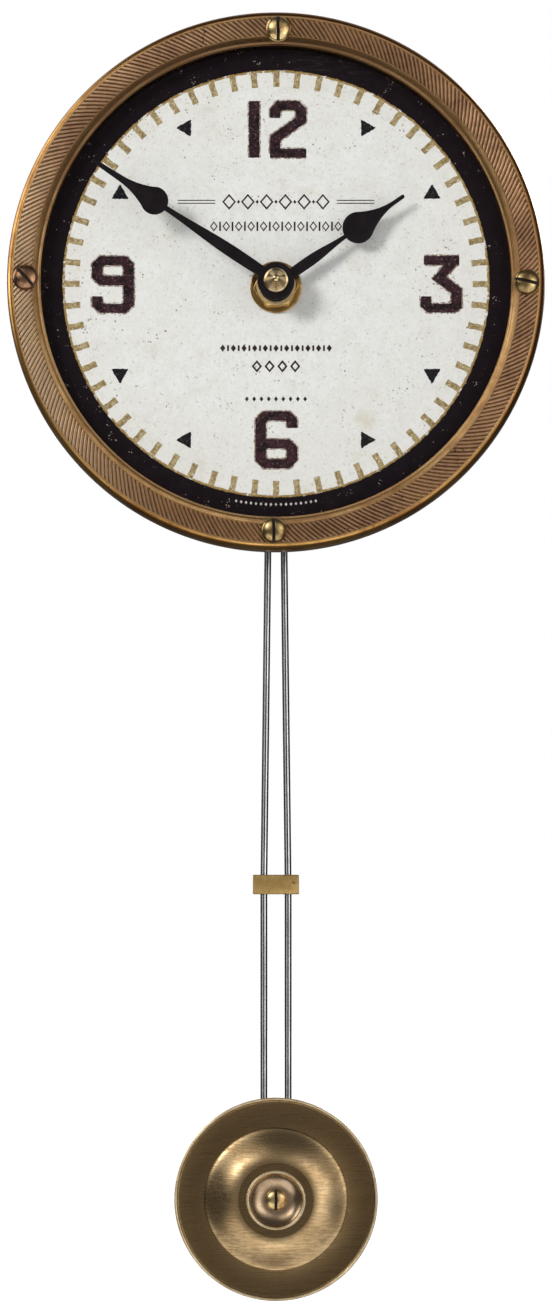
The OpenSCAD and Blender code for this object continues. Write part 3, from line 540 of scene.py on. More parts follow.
bezel_brass = aged_metal("bezel_brass", srgb(232, 190, 134), srgb(178, 134, 88), (0.26, 0.42),
                         cloud=48.0, contrast=0.35, speck=0.22, dark=srgb(44, 26, 16))
# The ridges' lean is a painted highlight: a light tint that grows towards the left of the bezel.
ridge_brass = aged_metal("ridge_brass", srgb(234, 195, 155), srgb(170, 134, 104), (0.28, 0.44),
                         cloud=80.0, contrast=0.35, speck=0.30, dark=srgb(40, 26, 20),
                         valley=(BEZEL_H - 0.36, BEZEL_H - 0.12),
                         lean=(195, 0.55, 0.98, 0.5, srgb(255, 232, 196)))
screw_brass = aged_metal("screw_brass", srgb(232, 204, 146), srgb(160, 120, 72), (0.17, 0.3),
                         cloud=260.0, contrast=0.5, speck=0.35)
bright_brass = aged_metal("bright_brass", srgb(240, 204, 136), srgb(190, 146, 84), (0.12, 0.24),
                          cloud=300.0, contrast=0.4, speck=0.15)
# The cap's spun sectors are a painted reflection.
cap_brass = aged_metal("cap_brass", srgb(236, 214, 170), srgb(206, 178, 128), (0.16, 0.24),
                       cloud=300.0, contrast=0.4, speck=0.1, spun=0.85)
screw_copper = aged_metal("screw_copper", srgb(166, 126, 96), srgb(106, 76, 56),
                          (0.2, 0.34), cloud=260.0, contrast=0.5, speck=0.45)
screw_olive = aged_metal("screw_olive", srgb(190, 164, 112), srgb(118, 92, 60),
                         (0.18, 0.32), cloud=300.0, contrast=0.6, speck=0.45)
washer_brass = aged_metal("washer_brass", srgb(212, 172, 106), srgb(138, 102, 54),
                          (0.18, 0.3), cloud=300.0, contrast=0.6, speck=0.25)
nut_brass = aged_metal("nut_brass", srgb(255, 226, 172), srgb(214, 174, 112), (0.3, 0.42),
                       cloud=340.0, contrast=0.6, speck=0.3, metallic=0.5)
bar_brass = aged_metal("bar_brass", srgb(216, 182, 118), srgb(182, 148, 90), (0.34, 0.5),
                       cloud=300.0, contrast=0.4, speck=0.35, brushed=(900, 900, 9000))
bob_brass = aged_metal("bob_brass", srgb(212, 182, 138), srgb(172, 142, 100), (0.19, 0.28),
                       cloud=90.0, contrast=0.3, speck=0.10, brushed=(90, 900, 2300),
                       stroke=0.05)
# A darker copy of bob_brass: painted shade on the flat rim, the step and round the dimple.
bob_shade_brass = aged_metal("bob_shade_brass", srgb(148, 122, 87), srgb(116, 93, 62),
                           (0.24, 0.34), cloud=90.0, contrast=0.3, speck=0.15,
                           brushed=(90, 900, 2300), stroke=0.05)
dimple_brass = aged_metal("dimple_brass", srgb(206, 178, 146), srgb(162, 136, 108), (0.18, 0.3),
                          cloud=300.0, contrast=0.3, speck=0.1)
# The rods' edge and core colours are painted shade: dark edges and a darker line down each rod's middle.
drawn_steel = aged_metal("drawn_steel", srgb(246, 246, 248), srgb(206, 203, 200), (0.16, 0.24),
                         cloud=120.0, contrast=0.3, speck=0.14, dark=srgb(90, 58, 38),
                         brushed=(900, 900, 25), stroke=0.004, grain=0.004, metallic=0.6,
                         edge=srgb(14, 12, 14), core=srgb(40, 38, 42))
zinc_steel = aged_metal("zinc_steel", srgb(198, 200, 204), srgb(160, 162, 166), (0.3, 0.45),
                        cloud=220.0, contrast=0.2, speck=0.1)
spring_steel = aged_metal("spring_steel", srgb(206, 206, 208), srgb(170, 170, 172), (0.2, 0.3),
                          cloud=220.0, contrast=0.2, speck=0.05)
# The cove's lean is painted shade: a dark tint that grows towards the top of the bevel, slightly left.
cove_brass = aged_metal("cove_brass", srgb(226, 182, 126), srgb(170, 128, 84), (0.26, 0.42),
                        cloud=48.0, contrast=0.35, speck=0.22, dark=srgb(44, 26, 16),
                        lean=(105, -0.1, 0.88, 0.85, srgb(92, 66, 46)))
# The shoulder's lean is painted shade: a dark brown that grows towards the upper right of the outer wall.
shoulder_brass = aged_metal("shoulder_brass", srgb(220, 170, 100), srgb(146, 98, 52),
                            (0.24, 0.38), cloud=40.0, contrast=0.4, speck=0.25,
                            dark=srgb(38, 20, 10), lean=(40, -0.35, 0.6, 0.85, srgb(108, 66, 32)))
# A lighter copy of the bob's brass: a painted highlight on the rolled lip and the dimple's ridge.
lip_highlight_brass = aged_metal("lip_highlight_brass", srgb(226, 208, 172), srgb(176, 150, 110), (0.2, 0.3),
                       cloud=120.0, speck=0.1, metallic=0.6)
hook_brass = aged_metal("hook_brass", srgb(170, 138, 92), srgb(126, 98, 62), (0.35, 0.5),
                        cloud=160.0, contrast=0.3, speck=0.2)
copper_wire = aged_metal("copper_wire", srgb(186, 92, 48), srgb(150, 66, 34), (0.25, 0.35),
                         cloud=500.0, contrast=0.2, speck=0.0, brushed=(300, 9000, 300))
print("metals ready")

# %% [markdown]
# ## Paints and plastics
# The hands are painted matt black, the drum has a thicker satin paint with a faint orange-peel
# bump, and the movement is moulded plastic with a fine spark-eroded grain.

# %% Painted and moulded finishes
def coated(name, colour, worn, rough=(0.4, 0.55), scale=120.0, grain=0.03, grain_scale=1800.0,
           speck=0.1, **fixed):
    material, sh, shader = new_material(name, **fixed)
    at = sh.place()
    mask = use_group(sh, tarnish, Vector=at, Scale=scale, Contrast=0.2)
    dots = use_group(sh, specks, Vector=at, Scale=700.0, Amount=speck)
    tint = sh.mix(mask, colour, worn)
    tint = sh.mix(sh.math("MULTIPLY", dots, 0.5), tint, [0.5 * v + 0.12 for v in worn])
    roughness = sh.band(mask, 0.0, 1.0, rough[0], rough[1])
    normal = sh.bump(sh.noise(at, grain_scale, 2.0, 0.5), 0.4, grain * MM)
    wire_up(sh, shader, Base_Color=tint, Roughness=roughness, Normal=normal)
    return material


hand_paint = coated("hand_paint", srgb(9, 6, 8), srgb(28, 21, 25), (0.42, 0.6), scale=200.0,
                    grain=0.02, speck=0.15, Specular_IOR_Level=0.15)
drum_paint = coated("drum_paint", srgb(62, 52, 43), srgb(78, 66, 54), (0.4, 0.5), grain=0.05,
                    grain_scale=900.0)
plate_paint = coated("plate_paint", srgb(52, 46, 40), srgb(66, 58, 50), (0.5, 0.6))
case_plastic = coated("case_plastic", srgb(26, 27, 30), srgb(36, 37, 40), (0.38, 0.5),
                      grain=0.02, grain_scale=4000.0, speck=0.02)
gear_plastic = coated("gear_plastic", srgb(226, 222, 210), srgb(212, 206, 190), (0.35, 0.45),
                      grain=0.01, grain_scale=3000.0, speck=0.0)
knob_plastic = coated("knob_plastic", srgb(176, 34, 28), srgb(150, 26, 22), (0.3, 0.4),
                      speck=0.0)
board_resin = coated("board_resin", srgb(26, 96, 52), srgb(18, 78, 40), (0.25, 0.35), speck=0.1)
chip_epoxy = coated("chip_epoxy", srgb(22, 22, 24), srgb(34, 34, 36), (0.5, 0.6))
seal_rubber = coated("seal_rubber", srgb(22, 22, 22), srgb(32, 32, 32), (0.7, 0.85))
slot_grime = coated("slot_grime", srgb(28, 18, 12), srgb(44, 30, 20), (0.6, 0.8), scale=500.0)
print("coatings ready")

# %% [markdown]
# ## Dial print
# The dial is a printed card made to look a century old. Its rings follow from the distance to
# the centre, so the shader can draw them: cream inside, a ragged tan line, then a broad black
# ring with white specks where the ink has flaked. A little noise is added to the distance
# first, which makes every printed edge ragged in the same way as a worn stamp.

# %% Dial card
CREAM_R = 60.1 * MM
TAN_R = 59.5 * MM


def from_centre(sh, at):
    """Distance from the dial's centre, from object coordinates."""
    flat = sh.add("ShaderNodeMapping", Vector=at, Location=(0, 0, -DIAL_Z), Scale=(1, 0, 1))
    return sh.add("ShaderNodeVectorMath", "Value", settings={"operation": "LENGTH"}, i0=flat)


dial_card, sh, shader = new_material("dial_card", Specular_IOR_Level=0.12)
at = sh.place()
distance = from_centre(sh, at)
ragged = sh.math("MULTIPLY", sh.math("SUBTRACT", sh.noise(at, 900.0, 4.0, 0.7), 0.5), 0.9 * MM)
edge = sh.math("ADD", distance, ragged)
black = sh.band(edge, CREAM_R - 0.08 * MM, CREAM_R + 0.08 * MM)
tan = sh.math("MULTIPLY", sh.band(edge, TAN_R - 0.1 * MM, TAN_R + 0.1 * MM),
              sh.band(sh.noise(at, 420.0, 3.0, 0.7), 0.34, 0.46))
stain_and_painted_light = use_group(sh, tarnish, Vector=at, Scale=34.0, Contrast=0.0)
yellow = sh.math("MULTIPLY", stain_and_painted_light, sh.band(distance, 20 * MM, 58 * MM, 0.10, 0.34))
paper = sh.mix(yellow, srgb(232, 233, 231), srgb(212, 207, 188))
mottle = sh.noise(at, 1500.0, 3.0, 0.7)
paper = sh.mix(sh.band(mottle, 0.35, 0.70, 0.0, 0.26), paper, srgb(190, 188, 180))
broad = sh.noise(at, 180.0, 5.0, 0.7)
paper = sh.mix(sh.band(broad, 0.40, 0.70, 0.0, 0.24), paper, srgb(202, 200, 190))
blot = sh.band(sh.noise(at, 62.0, 5.0, 0.6), 0.60, 0.74, 0.0, 0.40)
paper = sh.mix(blot, paper, srgb(196, 184, 150))
dirt = use_group(sh, specks, Vector=at, Scale=900.0, Amount=0.32)
paper = sh.mix(sh.math("MULTIPLY", dirt, 0.8), paper, srgb(112, 102, 84))
grit = sh.band(sh.noise(at, 1500.0, 2.0, 0.5), 0.67, 0.74, 0.0, 0.55)
paper = sh.mix(grit, paper, srgb(150, 142, 122))
hairs = use_group(sh, hairlines, Vector=at, Scale=52.0, Amount=0.4)
paper = sh.mix(hairs, paper, srgb(186, 182, 170))
flakes = use_group(sh, specks, Vector=at, Scale=1500.0, Amount=0.40)
ink = sh.mix(sh.noise(at, 240.0, 4.0, 0.6), srgb(11, 7, 10), srgb(27, 18, 24))
ink = sh.mix(sh.math("MULTIPLY", flakes, 0.8), ink, srgb(168, 160, 150))
ink = sh.mix(sh.math("MULTIPLY", hairs, 0.35), ink, srgb(120, 110, 104))
colour = sh.mix(tan, paper, srgb(150, 124, 72))
colour = sh.mix(black, colour, ink)
wire_up(sh, shader, Base_Color=colour,
        Roughness=sh.band(sh.noise(at, 300.0), 0.3, 0.7, 0.55, 0.75),
        Normal=sh.bump(sh.noise(at, 2600.0, 3.0, 0.6), 0.25, 0.02 * MM))


def worn_ink(name, deep, faded, bare, scale=420.0, worn=0.30):
    """Printing ink with brown clouds and pale rubbed spots."""
    material, sh, shader = new_material(name, Specular_IOR_Level=0.2)
    at = sh.place()
    cloud = use_group(sh, tarnish, Vector=at, Scale=scale, Contrast=0.6)
    rubbed = sh.band(sh.noise(at, 1300.0, 4.0, 0.75), 0.55, 0.66, 0.0, worn)
    colour = sh.mix(rubbed, sh.mix(cloud, deep, faded), bare)
    wire_up(sh, shader, Base_Color=colour,
            Roughness=sh.band(cloud, 0.0, 1.0, 0.5, 0.7),
            Normal=sh.bump(sh.noise(at, 2600.0, 3.0, 0.6), 0.25, 0.02 * MM))
    return material


numeral_ink = worn_ink("numeral_ink", srgb(5, 2, 4), srgb(58, 34, 40), srgb(150, 122, 128), 620.0,
                       0.5)
mark_ink = worn_ink("mark_ink", srgb(10, 8, 12), srgb(26, 22, 28), srgb(130, 128, 126), 700.0)
line_ink = worn_ink("line_ink", srgb(22, 15, 17), srgb(56, 40, 40), srgb(150, 140, 130), 700.0)
tick_ink = worn_ink("tick_ink", srgb(124, 104, 64), srgb(178, 160, 118), srgb(228, 222, 204),
                    1100.0, 0.8)
pale_ink = worn_ink("pale_ink", srgb(214, 210, 206), srgb(170, 164, 160), srgb(60, 52, 56),
                    900.0, 0.6)

# %% Brown halo of old printing ink
halo_ink, sh, shader = new_material("halo_ink", Roughness=0.7, Specular_IOR_Level=0.1)
at = sh.place()
broken = sh.band(sh.noise(at, 1300.0, 4.0, 0.7), 0.42, 0.58, 0.0, 0.8)
wire_up(sh, shader, Alpha=broken, Base_Color=sh.mix(sh.noise(at, 500.0), srgb(120, 84, 62),
                                                    srgb(176, 150, 122)))
print("dial print ready")

# %% [markdown]
# ## Numerals
# The numerals are plain block figures of constant stroke with cut corners. A figure drawn as a
# centre line and a stroke width is far shorter than its outline, and every figure then gets
# the same weight. The stroke is pressed into a skin of ink two hundredths of a millimetre
# thick, so it is real geometry that still lies flat on the card.

# %% Stroked figures
INK_T = 0.02
UPRIGHT_W = 2.93
LEVEL_W = 2.55


def stroke_outline(path, extra=0.0):
    """Left and right sides of a mitred stroke; level strokes are thinner than upright ones."""
    path = [Vector(p) for p in path]
    left, right = [], []
    for i, p in enumerate(path):
        into = (p - path[i - 1]).normalized() if i else None
        out = (path[i + 1] - p).normalized() if i + 1 < len(path) else None
        into, out = into or out, out or into
        across = Vector((-(into + out).y, (into + out).x)).normalized()
        reach = 0.5 / max(0.5, across.dot(Vector((-out.y, out.x))))
        side = Vector((across.x * (UPRIGHT_W + extra), across.y * (LEVEL_W + extra)))
        side *= reach
        left.append(p + side)
        right.append(p - side)
    return [tuple(p) for p in left + right[::-1]]


def ragged_edge(outline, seed, step=0.45, amount=0.07):
    """The same outline with extra points, each pushed a little at random."""
    chance = random.Random(seed)
    out = []
    for i, a in enumerate(outline):
        a, b = Vector(a), Vector(outline[(i + 1) % len(outline)])
        parts = max(1, int((b - a).length / step))
        for k in range(parts):
            push = Vector((chance.uniform(-amount, amount), chance.uniform(-amount, amount)))
            out.append(tuple(a.lerp(b, k / parts) + push))
    return out


STEM = 6.72
SIDE = 4.43
CUT = 1.35
TOUCH = 0.05
nine = [[(-SIDE, -STEM + 3.4), (-SIDE, -STEM + CUT), (-SIDE + CUT, -STEM),
         (SIDE - CUT, -STEM), (SIDE, -STEM + CUT), (SIDE, STEM - CUT), (SIDE - CUT, STEM),
         (-SIDE + CUT, STEM), (-SIDE, STEM - CUT), (-SIDE, 1.1 + CUT), (-SIDE + CUT, 1.1),
         (SIDE - UPRIGHT_W / 2 + TOUCH, 1.1)]]
six = [[(-x, -y) for x, y in nine[0]]]
three = [[(-5.0, STEM), (4.95, STEM)], [(3.5, 6.9), (-1.6, 0.55)],
         [(-0.45, 1.6), (4.2, -1.8), (4.2, -6.0), (3.2, -STEM), (-3.3, -STEM),
          (-4.4, -5.7), (-4.4, -3.4)]]
two = [[(-3.63, 3.2), (-3.63, 5.3), (-2.45, STEM), (2.35, STEM), (3.63, 5.3), (3.63, 2.65),
        (-3.63, -2.55), (-3.63, -STEM)], [(-5.1, -STEM), (5.1, -STEM)]]
one = [[(0, STEM + LEVEL_W / 2), (0, -STEM - LEVEL_W / 2)]]
FIGURES = ((one, -6.15, 43.5), (two, 3.4, 43.5), (three, 46.6, -0.1), (six, 0.1, -43.9),
           (nine, -45.9, -0.2))

HALO_W = 0.75
build = bmesh.new()
halo = bmesh.new()
for number, (figure, x, y) in enumerate(FIGURES):
    for layer, path in enumerate(figure):
        path = [(x + px, y + py) for px, py in path]
        high = INK_T * (1.5 + 0.2 * layer)
        press(build, ragged_edge(rounded(stroke_outline(path), 0.25, 2), number), 0, high)
        press(halo, ragged_edge(stroke_outline(path, HALO_W), number, 0.6, 0.12), 0,
              INK_T * (0.6 + 0.1 * layer))
numerals = to_object("numerals", build, numeral_ink)
finish_piece(numerals, "case", "dial_print")
finish_piece(to_object("numeral_halo", halo, halo_ink), "case", "dial_print")

# %% [markdown]
# ## Hour marks and ornaments
# Eight small triangles mark the other hours; each points up, down, left or right rather than
# at the centre. Between them the dial carries a plain ornament of ruled lines, lozenges and
# bars, with no lettering. One helper repeats a small shape along a line, and a fixed random
# seed roughens the marks' edges as a worn printing block would.

# %% Triangles, rules and lozenges
MARK_R = 50.7
MARK_SIZE = 4.9
POINTING = {1: 0, 2: 90, 4: 270, 5: 0, 7: 180, 8: 270, 10: 90, 11: 180}
build = bmesh.new()
for hour, aim in POINTING.items():
    spot = math.radians(90 - 30 * hour)
    centre = Vector((math.cos(spot), math.sin(spot))) * MARK_R
    corners = []
    for k in range(3):
        a = math.radians(aim + 120 * k)
        corners.append(centre + Vector((math.cos(a), math.sin(a))) * MARK_SIZE * 0.58)
    press(build, ragged_edge(rounded([tuple(c) for c in corners], 0.45, 3), hour, 0.4, 0.10), 0,
          INK_T)
hour_marks = to_object("hour_marks", build, mark_ink)
finish_piece(hour_marks, "case", "dial_print")


def bar(build, x, y, w, h):
    press(build, [(x - w / 2, y - h / 2), (x + w / 2, y - h / 2), (x + w / 2, y + h / 2),
                  (x - w / 2, y + h / 2)], 0, INK_T)


def lozenge(build, x, y, w, h):
    press(build, [(x - w / 2, y), (x, y - h / 2), (x + w / 2, y), (x, y + h / 2)], 0, INK_T)


def hollow(build, x, y, w, h, stroke=0.9):
    """A lozenge outline, made of four short bars."""
    tips = [Vector((x - w / 2, y)), Vector((x, y - h / 2)), Vector((x + w / 2, y)),
            Vector((x, y + h / 2))]
    middle = Vector((x, y))
    inner = [middle + (t - middle) * (1 - 1.3 * stroke / min(w, h)) for t in tips]
    for k in range(4):
        j = (k + 1) % 4
        press(build, [tuple(tips[k]), tuple(tips[j]), tuple(inner[j]), tuple(inner[k])], 0, INK_T)


def row(build, shape, count, reach, y, w, h, **more):
    """Repeats one small shape along a level line."""
    for k in range(count):
        shape(build, -reach + 2 * reach * k / (count - 1), y, w, h, **more)


RULE_Y = 23.1
build = bmesh.new()
for side in (-1, 1):
    for gap in (-0.42, 0.42):
        bar(build, side * 22.4, RULE_Y + gap, 10.6, 0.27)
row(build, hollow, 6, 13.2, RULE_Y, 3.9, 4.5)
row(build, lozenge, 5, 10.56, RULE_Y, 0.9, 1.2)
row(build, hollow, 11, 17.5, 16.2, 2.2, 2.9, stroke=0.62)
row(build, bar, 10, 15.75, 16.2, 0.5, 2.6)
row(build, lozenge, 11, 15.0, -18.1, 1.5, 2.1)
row(build, bar, 10, 13.5, -18.1, 0.55, 1.6)
row(build, hollow, 4, 5.4, -23.2, 2.9, 3.5, stroke=1.0)
row(build, lozenge, 9, 8.2, -32.4, 1.1, 1.5)
ornament = to_object("dial_ornament", build, line_ink)
finish_piece(ornament, "case", "dial_print")

RING_R = 62.1
build = bmesh.new()
for k in range(-8, 9):
    a = math.radians(270 + 1.3 * k)
    lozenge(build, RING_R * math.cos(a), RING_R * math.sin(a), 0.75, 0.95)
finish_piece(to_object("ring_ornament", build, pale_ink), "case", "dial_print")

# %% [markdown]
# ## Repeating things round the dial
# Ridges, minute ticks and screws all repeat round one axis. Geometry Nodes suit this: one tree
# takes a source shape and a count, and instances the shape in a circle. The
# tree can also shift each copy a little with a fixed seed, as hand work would. Realize
# Instances turns the copies into real faces before the result becomes a plain mesh.

# %% The repeating tree
def circle_tree():
    tree = bpy.data.node_groups.new("repeat_in_circle", "GeometryNodeTree")
    face = tree.interface
    face.new_socket(name="Geometry", in_out="INPUT", socket_type="NodeSocketGeometry")
    for name, kind, value in (("Source", "NodeSocketObject", None), ("Count", "NodeSocketInt", 4),
                              ("Radial play", "NodeSocketFloat", 0.0),
                              ("Turn play", "NodeSocketFloat", 0.0),
                              ("Seed", "NodeSocketInt", 7), ("Finish", "NodeSocketMaterial", None)):
        socket = face.new_socket(name=name, in_out="INPUT", socket_type=kind)
        if value is not None:
            socket.default_value = value
    face.new_socket(name="Geometry", in_out="OUTPUT", socket_type="NodeSocketGeometry")
    given = tree.nodes.new("NodeGroupInput").outputs
    result = tree.nodes.new("NodeGroupOutput").inputs
    sh = Shade(tree)

    def play(amount, offset):
        return sh.add("FunctionNodeRandomValue", 1, i2=sh.math("MULTIPLY", amount, -1.0),
                      i3=amount, Seed=sh.math("ADD", given["Seed"], offset))

    step = sh.math("DIVIDE", 2 * math.pi, given["Count"])
    index = sh.add("GeometryNodeInputIndex")
    angle = sh.math("ADD", sh.math("MULTIPLY", index, step), play(given["Turn play"], 1.0))
    shift = play(given["Radial play"], 2.0)
    away = sh.add("ShaderNodeCombineXYZ", i0=sh.math("MULTIPLY", shift, sh.math("COSINE", angle)),
                  i1=sh.math("MULTIPLY", shift, sh.math("SINE", angle)))
    points = sh.add("GeometryNodePoints", Count=given["Count"])
    moved = sh.add("GeometryNodeSetPosition", Geometry=points, Offset=away)
    source = sh.add("GeometryNodeObjectInfo", "Geometry", Object=given["Source"])
    copies = sh.add("GeometryNodeInstanceOnPoints", Points=moved, Instance=source,
                    Rotation=sh.add("ShaderNodeCombineXYZ", i2=angle))
    real = sh.add("GeometryNodeRealizeInstances", i0=copies)
    tree.links.new(sh.add("GeometryNodeSetMaterial", Geometry=real, Material=given["Finish"]),
                   result[0])
    return tree


REPEAT = circle_tree()


def repeat_round(name, build, material, count, radial_play=0.0, turn_play=0.0, seed=7, sharp=35):
    """Repeats a small shape round the dial's axis and gives back one plain object."""
    source = to_object(name + "_source", build, material, sharp, Matrix.Identity(4))
    host = bpy.data.objects.new(name, bpy.data.meshes.new(name))
    bpy.context.collection.objects.link(host)
    maker = host.modifiers.new("repeat", "NODES")
    maker.node_group = REPEAT
    ids = {s.name: s.identifier for s in REPEAT.interface.items_tree if s.in_out == "INPUT"}
    values = {"Source": source, "Count": count, "Radial play": radial_play,
              "Turn play": turn_play, "Seed": seed, "Finish": material}
    for key, value in values.items():
        maker[ids[key]] = value
    host.update_tag()
    bpy.context.view_layer.update()
    seen_now = host.evaluated_get(bpy.context.evaluated_depsgraph_get())
    mesh = bpy.data.meshes.new_from_object(seen_now)
    host.modifiers.clear()
    mesh.transform(ON_DIAL)
    mesh.name = name
    host.data = mesh
    bpy.data.objects.remove(source)
    return host


print("repeating tree has", len(REPEAT.nodes), "nodes")

# %% [markdown]
# ## Minute ticks
# Sixty short tan bars stand inside the ring. Each is a strip with slightly wavy long sides, so
# that it looks stamped. The tree moves every one by up to about a tenth of a millimetre.

# %% Minute ticks
TICK_IN = 55.4
TICK_OUT = 59.7
TICK_W = 1.7
build = bmesh.new()
waves = 9
side_a = []
side_b = []
for k in range(waves):
    t = k / (waves - 1)
    r = TICK_IN + (TICK_OUT - TICK_IN) * t
    side_a.append((r, -TICK_W / 2 - 0.07 * math.sin(9 * t)))
    side_b.append((r, TICK_W / 2 + 0.06 * math.sin(11 * t + 1)))
press(build, side_a + side_b[::-1], 0, INK_T * 0.7)
ticks = repeat_round("minute_ticks", build, tick_ink, 60, radial_play=0.12,
                     turn_play=math.radians(0.12))
finish_piece(ticks, "case", "dial_print")

# %% [markdown]
# ## Bezel
# The bezel is a turned brass ring. From the inside out it has a thin upright lip, a hollow
# bevel, a flat face cut with slanted ridges, and a rounded shoulder. The lathe makes the ring.
# The ridges are one closed bar whose path leans forty-odd degrees from the radius, and the
# repeating tree sets three hundred of them side by side. Their crests are what sparkles.

# %% Bezel ring
LIP_R = 66.0
RIDGE_IN = 68.25
RIDGE_OUT = 73.55
LIP_H = 4.35
SEAT_H = BEZEL_H - 0.36
SHOULDER_H = 3.0


def arc(centre, radii, start, end, steps):
    """Points on an ellipse quarter, in (radius, height)."""
    out = []
    for k in range(steps + 1):
        a = math.radians(start + (end - start) * k / steps)
        out.append((centre[0] + radii[0] * math.cos(a), centre[1] + radii[1] * math.sin(a)))
    return out


cove = [(LIP_R + 0.62 + (RIDGE_IN - LIP_R - 0.72) * t,
         LIP_H + (BEZEL_H - LIP_H) * t ** 1.35) for t in (k / 8 for k in range(9))]
outline = [(LIP_R + 0.02, 0.02), (LIP_R, LIP_H - 0.3)]
outline += [(LIP_R + 0.1, LIP_H - 0.06), (LIP_R + 0.3, LIP_H), (LIP_R + 0.5, LIP_H - 0.06)]
outline += cove
outline += [(RIDGE_IN + 0.02, BEZEL_H), (RIDGE_IN + 0.12, SEAT_H), (RIDGE_OUT - 0.1, SEAT_H),
            (RIDGE_OUT, BEZEL_H - 0.05), (RIDGE_OUT + 0.15, BEZEL_H)]
outline += arc((RIDGE_OUT + 0.15, SHOULDER_H), (BEZEL_R - RIDGE_OUT - 0.15, BEZEL_H - SHOULDER_H),
               84, 0, 12)
outline += [(BEZEL_R, BEZEL_BACK + 0.25), (BEZEL_R - 0.25, BEZEL_BACK),
            (68.2, BEZEL_BACK), (68.0, BEZEL_BACK + 0.2), (68.0, 0.02)]
build = turn(bmesh.new(), outline, 288)
bezel_ring = to_object("bezel_ring", build, bezel_brass, 40)


def second_finish(piece, finish, wanted):
    """Gives another finish to the faces whose centre, in dial millimetres, is wanted."""
    piece.data.materials.append(finish)
    back = ON_DIAL.inverted()
    for polygon in piece.data.polygons:
        if wanted(back @ polygon.center):
            polygon.material_index = len(piece.data.materials) - 1


# The shoulder and the cove take their own brasses, whose lean paints shade along one side of the ring.
second_finish(bezel_ring, shoulder_brass, lambda at: math.hypot(at.x, at.y) > RIDGE_OUT + 0.3)
second_finish(bezel_ring, cove_brass,
              lambda at: at.z > 0.5 and math.hypot(at.x, at.y) < RIDGE_IN - 0.1)
finish_piece(bezel_ring, "case", "aged_bronze", "bezel")

# %% Slanted ridges
RIDGE_COUNT = 308
SLANT = math.radians(0.75)
RIDGE_RISE = 0.44
ROWS = 7
SECTION = ((-0.56, -0.10), (-0.30, 0.52), (-0.08, 0.96), (0.08, 0.98), (0.34, 0.48), (0.56, -0.10))
build = bmesh.new()
pitch = 2 * math.pi / RIDGE_COUNT
rows = []
for k in range(ROWS):
    r = RIDGE_IN + 0.08 + (RIDGE_OUT - RIDGE_IN - 0.14) * k / (ROWS - 1)
    end_drop = 0.10 if k in (0, ROWS - 1) else 0.0
    row = []
    for across, rise in SECTION:
        a = SLANT * (r - (RIDGE_IN + RIDGE_OUT) / 2) + pitch * across
        z = SEAT_H + RIDGE_RISE * rise - end_drop
        row.append(build.verts.new((r * math.cos(a), r * math.sin(a), z)))
    rows.append(row)
for a, b in zip(rows, rows[1:]):
    for k in range(len(SECTION)):
        j = (k + 1) % len(SECTION)
        build.faces.new([a[k], b[k], b[j], a[j]])
build.faces.new(rows[0])
build.faces.new(rows[-1][::-1])
ridges = repeat_round("bezel_ridges", build, ridge_brass, RIDGE_COUNT, sharp=28,
                      turn_play=math.radians(0.035), seed=11)
finish_piece(ridges, "case", "aged_bronze")

# %% [markdown]
# ## Screws
# The bezel's four screws have domed, slotted heads. A boolean cuts the slot out of a turned
# dome, and a small bevel afterwards softens the slot's edges, as wear does. Each slot stops
# where the screw pulled tight, so the four directions differ.

# %% Slotted screw
SLOT_TURNS = (-12, 90, -48, 90)
HEAD_FINISH = (screw_olive, screw_brass, screw_copper, screw_olive)
SCREW_R = 70.1
HEAD_R = 3.6


def slotted(name, head_r, low, rim, dome, slot_w, slot_deep, shank_r, shank_low, turn_deg,
            centre, material):
    """One domed, slotted screw in place, as an object."""
    head = [(0, low), (shank_r, low), (head_r - 0.1, low), (head_r, low + 0.1),
            (head_r, low + rim)]
    head += arc((0, low + rim), (head_r, dome - rim), 6, 84, 12)
    head += [(0, low + dome)]
    build = turn(bmesh.new(), head, 72)
    piece = to_object(name, build, material, 30, Matrix.Identity(4))
    cutter = bmesh.new()
    press(cutter, [(-head_r - 1, -slot_w / 2), (head_r + 1, -slot_w / 2),
                   (head_r + 1, slot_w / 2), (-head_r - 1, slot_w / 2)],
          low + dome - slot_deep, low + dome + 1)
    blade = to_object(name + "_cutter", cutter, material, 30, Matrix.Identity(4))
    cut = piece.modifiers.new("slot", "BOOLEAN")
    cut.object = blade
    cut.operation = "DIFFERENCE"
    soften = piece.modifiers.new("soften", "BEVEL")
    soften.width = 0.08
    soften.segments = 2
    soften.limit_method = "ANGLE"
    soften.angle_limit = math.radians(50)
    bpy.context.view_layer.update()
    done = bpy.data.meshes.new_from_object(
        piece.evaluated_get(bpy.context.evaluated_depsgraph_get()))
    done.materials.append(slot_grime)
    for polygon in done.polygons:
        at = polygon.center
        in_slot = abs(at.y) < slot_w / 2 + 0.02 and at.z < low + dome - 0.12
        polygon.material_index = 1 if in_slot and at.z > low + dome - slot_deep - 0.02 else 0
    bpy.data.objects.remove(blade)
    bpy.data.objects.remove(piece)
    solid = bmesh.new()
    solid.from_mesh(done)
    shank = [(0, low + 0.05), (shank_r, low + 0.05)]
    threads = max(1, int((low - shank_low) / 0.5))
    for k in range(threads):
        z = low - (low - shank_low) * k / threads
        step = (low - shank_low) / threads
        shank += [(shank_r - 0.02, z - step * 0.2), (shank_r * 0.84, z - step * 0.6),
                  (shank_r - 0.02, z - step)]
    shank += [(shank_r * 0.7, shank_low - 0.1), (0, shank_low - 0.1)]
    turn(solid, shank, 24)
    solid.transform(Matrix.Translation((centre[0], centre[1], 0))
                    @ Matrix.Rotation(math.radians(turn_deg), 4, "Z"))
    done = to_object(name, solid, material, 30)
    done.data.materials.append(slot_grime)
    return done


